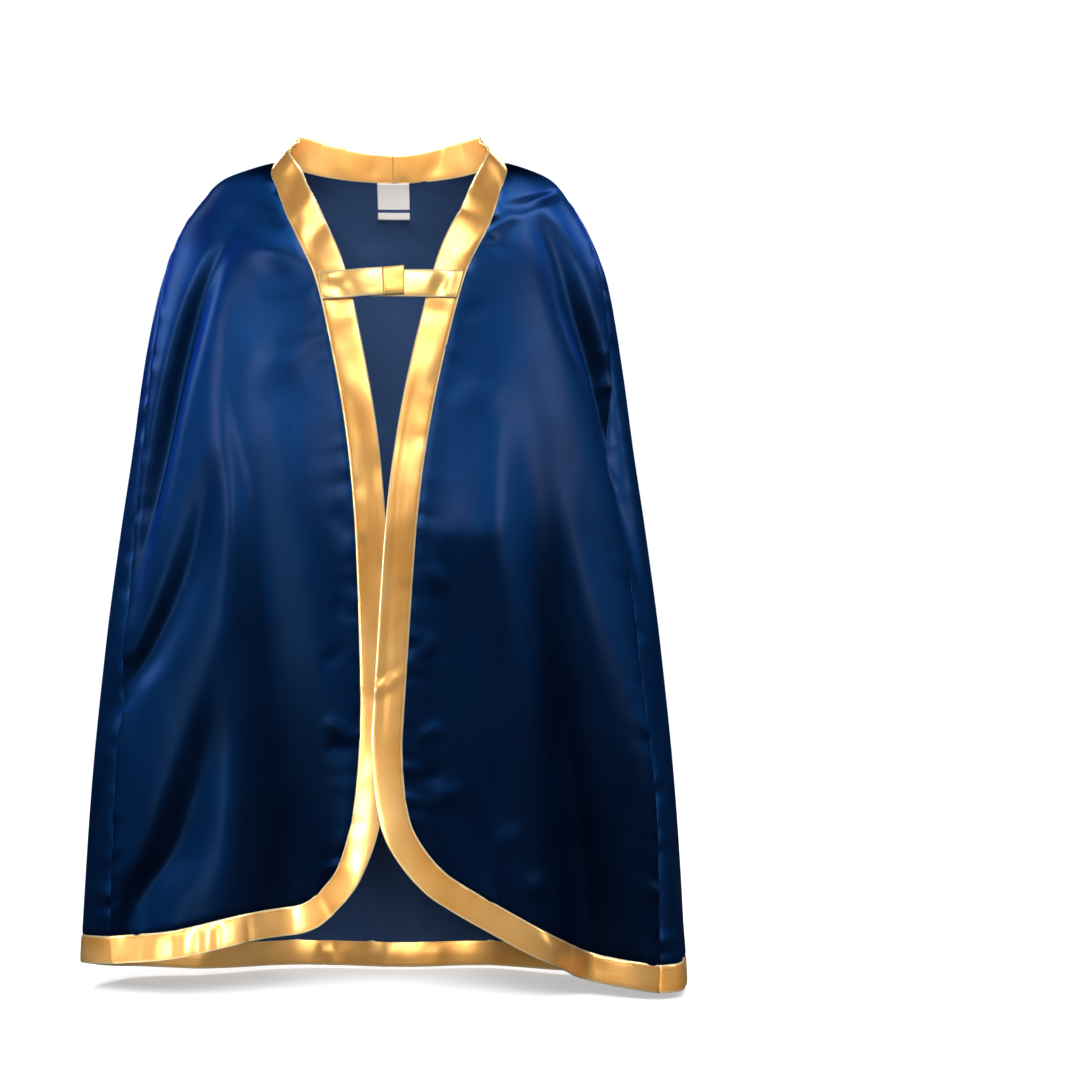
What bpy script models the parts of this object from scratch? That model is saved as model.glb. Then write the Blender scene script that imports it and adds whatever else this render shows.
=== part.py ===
"""Child's knight cape in satin, hanging open and empty as it does from a wearer's shoulders.

Two front panels and one back panel meet at shoulder-and-side seams. A doubled band edges the neck, the
fronts with their rounded corners, and the hem. Two short straps close it at the chest, and a label hangs
inside the back neck. Metres, +Z up, the wearer faces -Y, and +X is the wearer's left. The origin is the
middle of the neck opening, level with the tops of the shoulders.
"""

import math
from collections import namedtuple

import bmesh
import bpy
from mathutils import Vector

# Cloth, band and strap sizes
CLOTH_THICKNESS = 0.0014
BAND_THICKNESS = 0.0024
BAND_WIDTH = 0.0235
HEM_BAND_WIDTH = 0.0215
BAND_NARROWS_FROM = -0.44
BAND_NARROW_AT = -0.58
SEAM_GAP = 0.0004
SIDE_GAP = 0.0006
SHOULDER_GAP = 0.0007
BAND_END_GAP = 0.0008
STRAP_THICKNESS = 0.0018
STRAP_WIDTH = 0.022
LABEL_WIDTH = 0.027
LABEL_LENGTH = 0.030
LABEL_THICKNESS = 0.001

# Neck: how far the neckline dips at centre back, and how many degrees the band stands up off the cloth
# round the neck, and its width there, at degrees round from centre front to either side
NECK_LEVEL = 0.010
NECK_DIP = 0.009
NECK_DIP_DEPTH = 0.110
LEAN_FADES_AT = -0.084
Stand = namedtuple("Stand", "turn lean width")
NECK_STANDS = (
    Stand(0, 0, 0.0235),
    Stand(15, 8, 0.0235),
    Stand(28, 24, 0.0235),
    Stand(38, 35, 0.0235),
    Stand(48, 38, 0.0235),
    Stand(58, 33, 0.0240),
    Stand(70, 29, 0.0250),
    Stand(80, 31, 0.0260),
    Stand(92, 38, 0.0268),
    Stand(112, 46, 0.0272),
    Stand(132, 46, 0.0272),
    Stand(150, 33, 0.0262),
    Stand(166, 15, 0.0245),
    Stand(180, 9, 0.0240),
)

# Fronts: the wearer's left front laps over the right one below the chest
LAP_LIFT = 0.0019
LAP_TOP = -0.19
LAP_FULL = -0.27
LAP_TURN = math.radians(32)

# Straps: the turns of a strap's sewn end, slanted along its band, and of its free end, the heights of its
# middle at both, and how many layers of strap lie under its free end
Strap = namedtuple("Strap", "name top_turn bottom_turn free_turn height free_height layers_under")
STRAPS = (
    Strap("strap_left", 21.6, 19.2, -1.5, -0.0970, -0.0965, 0),
    Strap("strap_right", -15.6, -13.6, 6.3, -0.0985, -0.0945, 1),
)

# Shares of a strap's length between which it climbs over the layers under it
STRAP_CLIMBS_FROM = 0.30
STRAP_CLIMBS_TO = 0.62

# Grid counts: rows run down a panel, columns run round it
ROWS = 30
FRONT_COLUMNS = 20
BACK_COLUMNS = 30
BAND_COLUMNS = 2
STRAP_COLUMNS = 14
LABEL_CELLS = 4
CURVE_STEPS = 12
EASE_PASSES = 24
CLOSER_AT_ENDS = 0.45
SHOULDER_ROWS = 6

BLUE_SATIN = (0.006, 0.045, 0.160, 1.0)
GOLD_SATIN = (0.880, 0.520, 0.150, 1.0)
WHITE_TAPE = (0.880, 0.870, 0.840, 1.0)
SATIN_ROUGHNESS = 0.35
TAPE_ROUGHNESS = 0.70

# The body form at each height: half its width, its depth before and behind the shoulder line, and its centre
Section = namedtuple("Section", "height half_width front_depth back_depth centre")
SECTIONS = (
    Section(0.010, 0.088, 0.049, 0.058, 0.005),
    Section(0.004, 0.112, 0.053, 0.062, 0.005),
    Section(-0.005, 0.134, 0.058, 0.067, 0.003),
    Section(-0.020, 0.148, 0.066, 0.074, 0.002),
    Section(-0.045, 0.165, 0.076, 0.084, 0.001),
    Section(-0.085, 0.181, 0.086, 0.094, 0.001),
    Section(-0.150, 0.194, 0.095, 0.102, 0.000),
    Section(-0.230, 0.205, 0.106, 0.108, 0.000),
    Section(-0.290, 0.214, 0.112, 0.112, 0.000),
    Section(-0.380, 0.226, 0.114, 0.116, 0.000),
    Section(-0.510, 0.239, 0.116, 0.122, 0.000),
    Section(-0.690, 0.250, 0.120, 0.128, 0.000),
)

# Seam lines on the form: turn is in degrees round from centre front, towards the wearer's left
Mark = namedtuple("Mark", "turn height")
NECK_TURN = 96
LEFT_EDGE = (
    Mark(NECK_TURN, NECK_LEVEL),
    Mark(70, 0.0075),
    Mark(54, 0.002),
    Mark(44.5, -0.008),
    Mark(38.5, -0.022),
    Mark(32, -0.044),
    Mark(23.6, -0.077),
    Mark(19.0, -0.112),
    Mark(12.8, -0.189),
    Mark(8.5, -0.280),
    Mark(5.4, -0.424),
    Mark(4.9, -0.475),
    Mark(6.2, -0.519),
    Mark(11.0, -0.5525),
)
LEFT_HEM = (
    Mark(11.0, -0.5525),
    Mark(21.5, -0.583),
    Mark(34.7, -0.612),
    Mark(48.0, -0.631),
    Mark(62.0, -0.640),
)
RIGHT_EDGE = (
    Mark(-NECK_TURN, NECK_LEVEL),
    Mark(-67, 0.0075),
    Mark(-51, 0.002),
    Mark(-40, -0.008),
    Mark(-33.5, -0.022),
    Mark(-26, -0.044),
    Mark(-18.2, -0.077),
    Mark(-13.6, -0.111),
    Mark(-7.8, -0.189),
    Mark(-4.4, -0.280),
    Mark(-2.9, -0.400),
    Mark(-3.0, -0.463),
    Mark(-4.4, -0.519),
    Mark(-9.0, -0.568),
)
RIGHT_HEM = (
    Mark(-9.0, -0.568),
    Mark(-15.5, -0.589),
    Mark(-25.6, -0.5945),
    Mark(-42.0, -0.6095),
    Mark(-62.0, -0.618),
)
BACK_NECK = (Mark(NECK_TURN, NECK_LEVEL), Mark(180, NECK_LEVEL), Mark(360 - NECK_TURN, NECK_LEVEL))
BACK_HEM = (
    Mark(62, -0.640),
    Mark(90, -0.640),
    Mark(130, -0.643),
    Mark(180, -0.645),
    Mark(230, -0.640),
    Mark(270, -0.624),
    Mark(298, -0.618),
)
# The shoulder-and-side seam starts just behind the shoulder and drifts to the front as it falls
SIDE_SEAM = (
    Mark(NECK_TURN, NECK_LEVEL),
    Mark(89, -0.015),
    Mark(82, -0.050),
    Mark(76, -0.100),
    Mark(71, -0.220),
    Mark(66, -0.380),
    Mark(63, -0.540),
)

# Large folds, each from its top down: the turn of its middle at a height, its half widths before and after
# that in degrees, and how far it stands out in millimetres
Station = namedtuple("Station", "turn height before after out")
FOLDS = {
    "right_arm_trough": (
        Station(-44.2, -0.040, 3.5, 5.5, 0),
        Station(-52.5, -0.110, 4.1, 6.5, -9.5),
        Station(-59, -0.187, 3.6, 6.3, -13.5),
        Station(-62.4, -0.260, 3.4, 6.4, -12),
        Station(-64, -0.375, 4.1, 5.5, 0),
    ),
    "right_chest_ridge": (
        Station(-48.5, -0.050, 10, 7, 0),
        Station(-41, -0.140, 9, 5.8, 3.5),
        Station(-37.8, -0.204, 8.5, 5.5, 3),
        Station(-33.2, -0.268, 8, 4.5, 5),
        Station(-33.5, -0.400, 7, 4.5, 1.5),
        Station(-33.5, -0.500, 7, 4.5, 0),
    ),
    "right_hip_trough": (
        Station(-37, -0.225, 4, 6.5, 0),
        Station(-43, -0.307, 4.4, 7.2, -7),
        Station(-48.5, -0.355, 4.6, 7.4, -8.5),
        Station(-55.5, -0.395, 5.2, 7.6, -8),
        Station(-63.5, -0.425, 5.4, 7.8, -5),
        Station(-72, -0.465, 6, 8.2, 0),
    ),
    "right_hem_trough": (
        Station(-37.5, -0.150, 3.5, 6.5, 0),
        Station(-33.8, -0.200, 3.5, 7, -2.5),
        Station(-26, -0.300, 3.8, 9.4, -8),
        Station(-22.2, -0.400, 4.8, 10.4, -13.5),
        Station(-19.6, -0.490, 6, 11.4, -21.5),
        Station(-17.4, -0.580, 6.6, 10.2, -30),
        Station(-15.2, -0.700, 7.6, 11.2, -31),
    ),
    "right_low_trough": (
        Station(-30, -0.365, 4, 6, 0),
        Station(-33.4, -0.425, 4.4, 6.5, -3),
        Station(-36, -0.465, 4.4, 6.9, -6.5),
        Station(-39.2, -0.505, 4.6, 7.5, -9.5),
        Station(-43.5, -0.548, 5.2, 8.5, -10.5),
        Station(-53, -0.595, 5.8, 9, -7),
        Station(-68, -0.700, 6, 8.4, -3),
    ),
    "left_arm_trough": (
        Station(50, -0.025, 6, 5, 0),
        Station(56.8, -0.106, 7.5, 6.2, -11),
        Station(64.3, -0.162, 7.1, 5.6, -14.5),
        Station(69.3, -0.215, 6.8, 4.6, -15),
        Station(72, -0.280, 6.2, 4.6, -11),
        Station(74, -0.370, 6, 4.8, 0),
    ),
    "left_mid_ridge": (
        Station(28.5, -0.170, 8, 5.3, 0),
        Station(25, -0.284, 8.5, 6.3, 8),
        Station(27.2, -0.362, 7.2, 4.8, 6),
        Station(29.8, -0.456, 6.9, 4.6, 4.5),
        Station(32.3, -0.566, 6.9, 5.3, 3.5),
        Station(31.3, -0.700, 7, 5.1, 4.5),
    ),
    "left_hem_trough": (
        Station(36.5, -0.150, 5.5, 5.5, 0),
        Station(38, -0.200, 5.5, 6, -1),
        Station(38.8, -0.300, 6.2, 6.2, -5.5),
        Station(40.2, -0.386, 7.8, 5.6, -14),
        Station(42, -0.474, 9, 6.2, -24),
        Station(45.2, -0.578, 10, 7, -31),
        Station(48.5, -0.700, 10.6, 7.6, -32),
    ),
    "left_side_ridge": (
        Station(45, -0.200, 6, 6, 0),
        Station(53, -0.300, 7.2, 7.8, -2.5),
        Station(57.2, -0.370, 8, 8.2, 1),
        Station(61.5, -0.440, 8.6, 9, 6.5),
        Station(64.5, -0.520, 8.8, 9.2, 11.5),
        Station(66.5, -0.600, 9, 9, 13),
        Station(68.5, -0.700, 9.2, 8.6, 12),
    ),
    "back_left_arm_trough": (
        Station(108, -0.050, 6, 8, 0),
        Station(113, -0.140, 6, 9, -5),
        Station(117, -0.260, 6, 9, -6.5),
        Station(119, -0.360, 6, 8, -4),
        Station(121, -0.450, 6, 8, 0),
    ),
    "back_left_ridge": (
        Station(133, -0.160, 8, 7, 0),
        Station(131, -0.280, 8, 7, 4),
        Station(129, -0.420, 9, 8, 6),
        Station(127, -0.560, 9, 8, 7),
        Station(126, -0.700, 9, 8, 7),
    ),
    "back_left_trough": (
        Station(148, -0.210, 6, 10, 0),
        Station(147, -0.330, 7, 10, -6),
        Station(145, -0.460, 8, 11, -9.5),
        Station(143, -0.580, 8, 12, -11.5),
        Station(142, -0.700, 8, 12, -12),
    ),
    "back_mid_left_ridge": (
        Station(166, -0.330, 9, 8, 0),
        Station(164, -0.450, 9, 8, 4),
        Station(162, -0.570, 10, 9, 6),
        Station(161, -0.700, 10, 9, 6.5),
    ),
    "back_mid_trough": (
        Station(183, -0.300, 8, 11, 0),
        Station(181, -0.420, 9, 11, -5),
        Station(179, -0.550, 9, 12, -8),
        Station(177, -0.700, 9, 12, -10),
    ),
    "back_mid_right_ridge": (
        Station(201, -0.290, 9, 9, 0),
        Station(200, -0.410, 9, 9, 4),
        Station(198, -0.550, 9, 9, 6),
        Station(197, -0.700, 9, 9, 6),
    ),
    "back_right_trough": (
        Station(214, -0.190, 10, 6, 0),
        Station(216, -0.310, 11, 7, -6),
        Station(218, -0.450, 12, 8, -10),
        Station(219, -0.580, 12, 8, -11),
        Station(220, -0.700, 12, 8, -11),
    ),
    "back_right_ridge": (
        Station(231, -0.170, 7, 8, 0),
        Station(234, -0.300, 8, 8, 4.5),
        Station(236, -0.450, 8, 8, 6),
        Station(238, -0.700, 8, 8, 6),
    ),
    "back_right_arm_trough": (
        Station(250, -0.050, 8, 6, 0),
        Station(247, -0.150, 9, 6, -5.5),
        Station(244, -0.270, 9, 6, -6),
        Station(241, -0.370, 8, 6, -3.5),
        Station(239, -0.450, 8, 6, 0),
    ),
}


def smooth(low, high, value):
    """0 at low and 1 at high, easing at both ends."""
    share = min(1.0, max(0.0, (value - low) / (high - low)))
    return share * share * (3 - 2 * share)


def section_at(height):
    """The body form at a height, on a smooth curve through the table's rows."""
    rows = SECTIONS
    height = min(rows[0].height, max(rows[-1].height, height))
    upper = max(i for i in range(len(rows) - 1) if rows[i].height >= height)
    a, b = rows[upper], rows[upper + 1]
    share = (height - a.height) / (b.height - a.height)
    values = []
    for column in range(1, len(Section._fields)):

        def slope(i):
            before, after = rows[max(0, i - 1)], rows[min(len(rows) - 1, i + 1)]
            return (after[column] - before[column]) / (after.height - before.height)

        step = b.height - a.height
        h00 = 2 * share**3 - 3 * share**2 + 1
        h10 = share**3 - 2 * share**2 + share
        h01 = 3 * share**2 - 2 * share**3
        h11 = share**3 - share**2
        values.append(
            h00 * a[column] + h10 * step * slope(upper) + h01 * b[column] + h11 * step * slope(upper + 1)
        )
    return Section(height, *values)


def through(rows, steps):
    """Rows of numbers along a smooth curve through the given rows, a number of steps to each."""
    run = []
    for i in range(len(rows) - 1):
        around = (rows[max(0, i - 1)], rows[i], rows[i + 1], rows[min(len(rows) - 1, i + 2)])
        for k in range(steps + (i == len(rows) - 2)):
            t = k / steps
            weights = (
                (-t + 2 * t * t - t**3) / 2,
                (2 - 5 * t * t + 3 * t**3) / 2,
                (t + 4 * t * t - 3 * t**3) / 2,
                (t**3 - t * t) / 2,
            )
            run.append([sum(w * row[c] for w, row in zip(weights, around)) for c in range(len(rows[0]))])
    return run


FOLD_RUNS = [through(stations, CURVE_STEPS) for stations in FOLDS.values()]


def fold_at(run, height):
    """A fold's numbers at a height, or None above its top."""
    if height >= run[0][1]:
        return None
    for upper, lower in zip(run, run[1:]):
        if lower[1] <= height:
            share = (height - upper[1]) / (lower[1] - upper[1])
            return Station(*(a + (b - a) * share for a, b in zip(upper, lower)))
    return Station(*run[-1])


def fold_out(turn, height):
    """How far all the folds together move the cloth out at a place; turn is in degrees."""
    out = 0.0
    for run in FOLD_RUNS:
        fold = fold_at(run, height)
        if fold:
            apart = (turn - fold.turn + 180) % 360 - 180
            out += fold.out / 1000 * math.exp(-((apart / (fold.before if apart < 0 else fold.after)) ** 2))
    return out


def lap_out(turn, height, side):
    """The left front stands out, and the right one in, where they lap."""
    near = 1 - smooth(0, LAP_TURN, abs(math.radians(turn)))
    return side * LAP_LIFT * near * (1 - smooth(LAP_FULL, LAP_TOP, height))


def form_point(turn, height):
    """A point of the plain body form, and the way straight out of it."""
    section = section_at(height)
    angle = math.radians(turn)
    depth = section.front_depth if math.cos(angle) > 0 else section.back_depth
    behind = max(0.0, -math.cos(angle)) ** 2
    dip = NECK_DIP * behind * smooth(-NECK_DIP_DEPTH, NECK_LEVEL, height)
    point = Vector(
        (section.centre + section.half_width * math.sin(angle), -depth * math.cos(angle), height - dip)
    )
    out = Vector((math.sin(angle) * depth, -math.cos(angle) * section.half_width, 0)).normalized()
    return point, out


def cloth_point(turn, height, side=0):
    """A point on the middle of the cloth; side is 1 on the left front, -1 on the right one and 0 behind."""
    point, out = form_point(turn, height)
    return point + out * (fold_out(turn, height) + lap_out(turn, height, side))


def slopes(turn, height, side=0):
    """The cloth's two directions per degree of turn and per metre of height, and its outward normal."""
    dt, dh = 0.5, 0.002
    round_it = (cloth_point(turn + dt, height, side) - cloth_point(turn - dt, height, side)) / (2 * dt)
    upper = min(NECK_LEVEL, height + dh)
    lower = height - dh
    up = (cloth_point(turn, upper, side) - cloth_point(turn, lower, side)) / (upper - lower)
    return round_it, up, round_it.cross(up).normalized()


def evenly(marks, count, closer=0.0):
    """Stations spread along a smooth line through the marks, by length and closer at the line's ends."""
    dense = [Mark(*row) for row in through(marks, CURVE_STEPS)]
    places = [form_point(*mark)[0] for mark in dense]
    lengths = [0.0]
    for a, b in zip(places, places[1:]):
        lengths.append(lengths[-1] + (b - a).length)
    stations, k = [], 0
    for i in range(count + 1):
        share = i / count
        want = lengths[-1] * (share - closer * math.sin(2 * math.pi * share) / (2 * math.pi))
        while k < len(lengths) - 2 and lengths[k + 1] < want:
            k += 1
        share = (want - lengths[k]) / (lengths[k + 1] - lengths[k])
        a, b = dense[k], dense[k + 1]
        stations.append(Mark(a.turn + (b.turn - a.turn) * share, a.height + (b.height - a.height) * share))
    return stations


def mirrored(marks):
    return tuple(Mark(-mark.turn, mark.height) for mark in marks)


def side_seam(hem_mark):
    """Stations down the shoulder-and-side seam to its place on the hem, on that side of the body."""
    marks = SIDE_SEAM if hem_mark.turn > 0 else mirrored(SIDE_SEAM)
    return evenly(marks + (hem_mark,), ROWS, CLOSER_AT_ENDS)


def patch(top, bottom, first, last):
    """Fills four edges with a grid of marks: top and bottom run along a row, first and last down a column."""
    columns, rows = len(top) - 1, len(first) - 1
    grid = []
    for j in range(rows + 1):
        v = j / rows
        line = []
        for i in range(columns + 1):
            u = i / columns
            line.append(
                Mark(
                    *(
                        (1 - v) * top[i][k]
                        + v * bottom[i][k]
                        + (1 - u) * first[j][k]
                        + u * last[j][k]
                        - (1 - u) * (1 - v) * top[0][k]
                        - u * (1 - v) * top[-1][k]
                        - (1 - u) * v * bottom[0][k]
                        - u * v * bottom[-1][k]
                        for k in (0, 1)
                    )
                )
            )
        grid.append(line)
    for _ in range(EASE_PASSES):
        before = [line[:] for line in grid]
        for j in range(1, rows):
            for i in range(1, columns):
                around = (before[j - 1][i], before[j + 1][i], before[j][i - 1], before[j][i + 1])
                grid[j][i] = Mark(sum(m.turn for m in around) / 4, sum(m.height for m in around) / 4)
    return grid


def drawn_in(points):
    """Moves a grid's edges in by half a seam gap, wider over the shoulder, to keep neighbours apart."""
    rows, columns = len(points), len(points[0])
    moved = [[point.copy() for point in line] for line in points]
    for j in range(rows):
        gap = SHOULDER_GAP if j < SHOULDER_ROWS else SIDE_GAP
        for i, inner in ((0, 1), (columns - 1, columns - 2)):
            moved[j][i] += (points[j][inner] - points[j][i]).normalized() * gap / 2
    for i in range(columns):
        for j, inner in ((0, 1), (rows - 1, rows - 2)):
            moved[j][i] += (points[inner][i] - points[j][i]).normalized() * SEAM_GAP / 2
    if points[0][0] == points[0][-1]:
        tip = points[0][0] + (points[1][columns // 2] - points[0][0]).normalized() * SEAM_GAP
        moved[0] = [tip.copy() for _ in range(columns)]
    return moved


def cloth_material(name, colour, roughness):
    material = bpy.data.materials.new(name)
    material.use_nodes = True
    shader = material.node_tree.nodes["Principled BSDF"]
    shader.inputs["Base Color"].default_value = colour
    shader.inputs["Roughness"].default_value = roughness
    shader.inputs["Metallic"].default_value = 0.0
    return material


def wall(name, points, thickness, material):
    """A wall of cloth of even thickness, with the grid of points along its middle."""
    rows, columns = len(points) - 1, len(points[0]) - 1
    sheet = bmesh.new()
    bmesh.ops.create_grid(sheet, x_segments=columns, y_segments=rows, size=0.5)
    for vertex in sheet.verts:
        i = round((vertex.co.x + 0.5) * columns)
        j = round((vertex.co.y + 0.5) * rows)
        vertex.co = points[j][i]
    bmesh.ops.remove_doubles(sheet, verts=sheet.verts, dist=SEAM_GAP / 10)
    mesh = bpy.data.meshes.new(name)
    sheet.to_mesh(mesh)
    sheet.free()
    mesh.shade_smooth()
    mesh.materials.append(material)
    piece = bpy.data.objects.new(name, mesh)
    bpy.context.scene.collection.objects.link(piece)
    solidify = piece.modifiers.new("Thickness", "SOLIDIFY")
    solidify.thickness = thickness
    solidify.offset = 0
    solidify.use_rim = True
    return piece


def panel(name, grid, side, material):
    points = [[cloth_point(*mark, side) for mark in line] for line in grid]
    return wall(name, drawn_in(points), CLOTH_THICKNESS, material)


def stand_at(turn):
    """How the band stands at a turn, straight between the rows of its table."""
    aside = 180 - abs(180 - abs(turn))
    upper = next(i for i in range(1, len(NECK_STANDS)) if NECK_STANDS[i].turn >= aside)
    first, last = NECK_STANDS[upper - 1], NECK_STANDS[upper]
    share = (aside - first.turn) / (last.turn - first.turn)
    return Stand(*(a + (b - a) * share for a, b in zip(first, last)))


def band(name, stations, side, towards_edge, before, after, material):
    """A doubled strip that carries the cloth on past a seam; towards_edge is 1 if its edge is to the left.

    Before and after are the stations next to its ends, on the bands it meets there.
    """
    chain = [cloth_point(*mark, side) for mark in (before, *stations, after)]
    grid = []
    for i, mark in enumerate(stations):
        round_it, up, out = slopes(*mark, side)
        run = (chain[i + 2] - chain[i]).normalized()
        across = out.cross(run).normalized() * towards_edge
        standing = smooth(LEAN_FADES_AT, NECK_LEVEL, mark.height)
        stand = stand_at(mark.turn)
        lean = math.radians(stand.lean) * standing
        raised = across * math.cos(lean) + out * math.sin(lean)
        turning = across.dot(round_it) / round_it.length_squared
        climbing = across.dot(up) / up.length_squared
        narrowing = 1 - smooth(BAND_NARROW_AT, BAND_NARROWS_FROM, mark.height)
        full = BAND_WIDTH + (HEM_BAND_WIDTH - BAND_WIDTH) * narrowing + (stand.width - BAND_WIDTH) * standing
        start = SEAM_GAP / 2 + (BAND_THICKNESS + CLOTH_THICKNESS) / 2 * math.tan(lean / 2)
        line = []
        for k in range(BAND_COLUMNS + 1):
            width = start + (full - start) * k / BAND_COLUMNS
            lying = cloth_point(mark.turn + turning * width, mark.height + climbing * width, side)
            line.append(lying.lerp(chain[i + 1] + raised * width, standing))
        grid.append(line)
    for end, inner in ((0, 1), (-1, -2)):
        for k in range(BAND_COLUMNS + 1):
            grid[end][k] += (grid[inner][k] - grid[end][k]).normalized() * BAND_END_GAP / 2
    return wall(name, grid, BAND_THICKNESS, material)


def strap(row, material):
    """A strap across the chest, from its band to its free end, where it rests on the strap below it."""
    lying = BAND_THICKNESS / 2 + SEAM_GAP + STRAP_THICKNESS / 2
    over = lying + row.layers_under * (STRAP_THICKNESS + SEAM_GAP)
    grid = []
    for i in range(STRAP_COLUMNS + 1):
        share = i / STRAP_COLUMNS
        middle = row.height + (row.free_height - row.height) * share
        lift = lying + (over - lying) * smooth(STRAP_CLIMBS_FROM, STRAP_CLIMBS_TO, share)
        line = []
        for k in range(BAND_COLUMNS + 1):
            down = k / BAND_COLUMNS
            sewn_turn = row.top_turn + (row.bottom_turn - row.top_turn) * down
            turn = sewn_turn + (row.free_turn - sewn_turn) * share
            height = middle + STRAP_WIDTH * (0.5 - down)
            line.append(cloth_point(turn, height) + slopes(turn, height)[2] * lift)
        grid.append(line)
    return wall(row.name, grid, STRAP_THICKNESS, material)


def neck_label(name, material):
    """A label that hangs inside the back neck, made from the back panel's points moved in."""
    inside = CLOTH_THICKNESS / 2 + SEAM_GAP + LABEL_THICKNESS / 2
    middle = section_at(NECK_LEVEL).centre
    grid = []
    for j in range(LABEL_CELLS + 1):
        height = NECK_LEVEL - SEAM_GAP - LABEL_LENGTH * j / LABEL_CELLS
        section = section_at(height)
        line = []
        for i in range(LABEL_CELLS + 1):
            x = middle + LABEL_WIDTH * (i / LABEL_CELLS - 0.5)
            turn = 180 - math.degrees(math.asin((x - section.centre) / section.half_width))
            line.append(cloth_point(turn, height) - slopes(turn, height)[2] * inside)
        grid.append(line)
    return wall(name, grid, LABEL_THICKNESS, material)


def main():
    for existing in list(bpy.data.objects):
        bpy.data.objects.remove(existing)
    blue = cloth_material("blue_satin", BLUE_SATIN, SATIN_ROUGHNESS)
    gold = cloth_material("gold_satin", GOLD_SATIN, SATIN_ROUGHNESS)
    white = cloth_material("white_tape", WHITE_TAPE, TAPE_ROUGHNESS)

    left_seam, right_seam = side_seam(LEFT_HEM[-1]), side_seam(RIGHT_HEM[-1])
    half_neck = BACK_COLUMNS // 2
    back_neck = evenly(BACK_NECK, BACK_COLUMNS)
    back_hem = evenly(BACK_HEM, BACK_COLUMNS)
    behind_right = [Mark(mark.turn + 360, mark.height) for mark in right_seam]
    panel("back_panel", patch(back_neck, back_hem, left_seam, behind_right), 0, blue)

    # A turn of the body behind: the right half's places round the back, counted from the front
    behind = [Mark(mark.turn - 360, mark.height) for mark in back_neck]
    below = [Mark(mark.turn - 360, mark.height) for mark in back_hem]
    fronts = (
        ("left", 1, LEFT_EDGE, LEFT_HEM, left_seam, back_neck[half_neck + 1 :: -1], back_hem[1]),
        ("right", -1, RIGHT_EDGE, RIGHT_HEM, right_seam, behind[half_neck - 1 :], below[-2]),
    )
    hem_ends = []
    for name, side, edge_marks, hem_marks, seam, neck, after in fronts:
        edge = evenly(edge_marks, ROWS, CLOSER_AT_ENDS)
        hem = evenly(hem_marks, FRONT_COLUMNS)
        tip = [edge[0]] * (FRONT_COLUMNS + 1)
        panel(f"front_panel_{name}", patch(tip, hem, edge, seam), side, blue)
        stations = neck[1:] + edge[1:] + hem[1:]
        band(f"edge_band_{name}", stations, side, -side, neck[0], after, gold)
        hem_ends.append(hem[-2])
    last = Mark(hem_ends[1].turn + 360, hem_ends[1].height)
    band("hem_band_back", back_hem, 0, -1, hem_ends[0], last, gold)

    for row in STRAPS:
        strap(row, gold)
    neck_label("neck_label", white)


main()
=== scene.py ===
import math

import bmesh
import bpy
import numpy as np
from mathutils import Matrix, Vector


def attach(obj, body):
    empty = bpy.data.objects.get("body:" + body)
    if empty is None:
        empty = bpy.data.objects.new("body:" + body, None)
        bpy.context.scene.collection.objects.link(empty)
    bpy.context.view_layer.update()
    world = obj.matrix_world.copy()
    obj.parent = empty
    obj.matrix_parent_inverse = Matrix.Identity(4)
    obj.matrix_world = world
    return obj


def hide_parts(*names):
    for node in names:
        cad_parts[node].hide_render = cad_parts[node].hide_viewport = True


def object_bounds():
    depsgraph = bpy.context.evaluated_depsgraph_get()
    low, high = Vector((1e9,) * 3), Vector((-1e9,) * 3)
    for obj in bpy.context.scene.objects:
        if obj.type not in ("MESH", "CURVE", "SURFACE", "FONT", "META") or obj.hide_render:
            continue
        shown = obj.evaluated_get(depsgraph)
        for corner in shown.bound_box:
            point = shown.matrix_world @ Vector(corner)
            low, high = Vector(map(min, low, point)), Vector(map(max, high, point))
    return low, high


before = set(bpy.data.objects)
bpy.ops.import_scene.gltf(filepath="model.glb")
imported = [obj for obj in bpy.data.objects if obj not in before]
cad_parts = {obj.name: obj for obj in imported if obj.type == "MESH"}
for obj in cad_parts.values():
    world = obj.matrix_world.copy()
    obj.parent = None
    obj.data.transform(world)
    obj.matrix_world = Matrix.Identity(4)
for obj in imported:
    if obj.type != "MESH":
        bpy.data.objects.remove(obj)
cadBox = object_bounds()
print("frame loaded:", ", ".join(sorted(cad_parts)))

# The form the cape hangs in, in metres. Turn is in degrees round from centre front, towards the wearer's left
form = {
    # height, half width, front depth, back depth, centre
    "rings": np.array([
        (0.010, 0.088, 0.049, 0.058, 0.005),
        (0.004, 0.112, 0.053, 0.062, 0.005),
        (-0.005, 0.134, 0.058, 0.067, 0.003),
        (-0.020, 0.148, 0.066, 0.074, 0.002),
        (-0.045, 0.165, 0.076, 0.084, 0.001),
        (-0.085, 0.181, 0.086, 0.094, 0.001),
        (-0.150, 0.194, 0.095, 0.102, 0.000),
        (-0.230, 0.205, 0.106, 0.108, 0.000),
        (-0.290, 0.214, 0.112, 0.112, 0.000),
        (-0.380, 0.226, 0.114, 0.116, 0.000),
        (-0.510, 0.239, 0.116, 0.122, 0.000),
        (-0.690, 0.250, 0.120, 0.128, 0.000),
    ]),
    "neckLevel": 0.010,
    "neckDip": 0.009,
    "neckDipDepth": 0.110,
    "lapLift": 0.0019,   # the wearer's left front lies over the right
    "lapTop": -0.19,
    "lapFull": -0.27,
    "lapTurn": 32,
}

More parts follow.
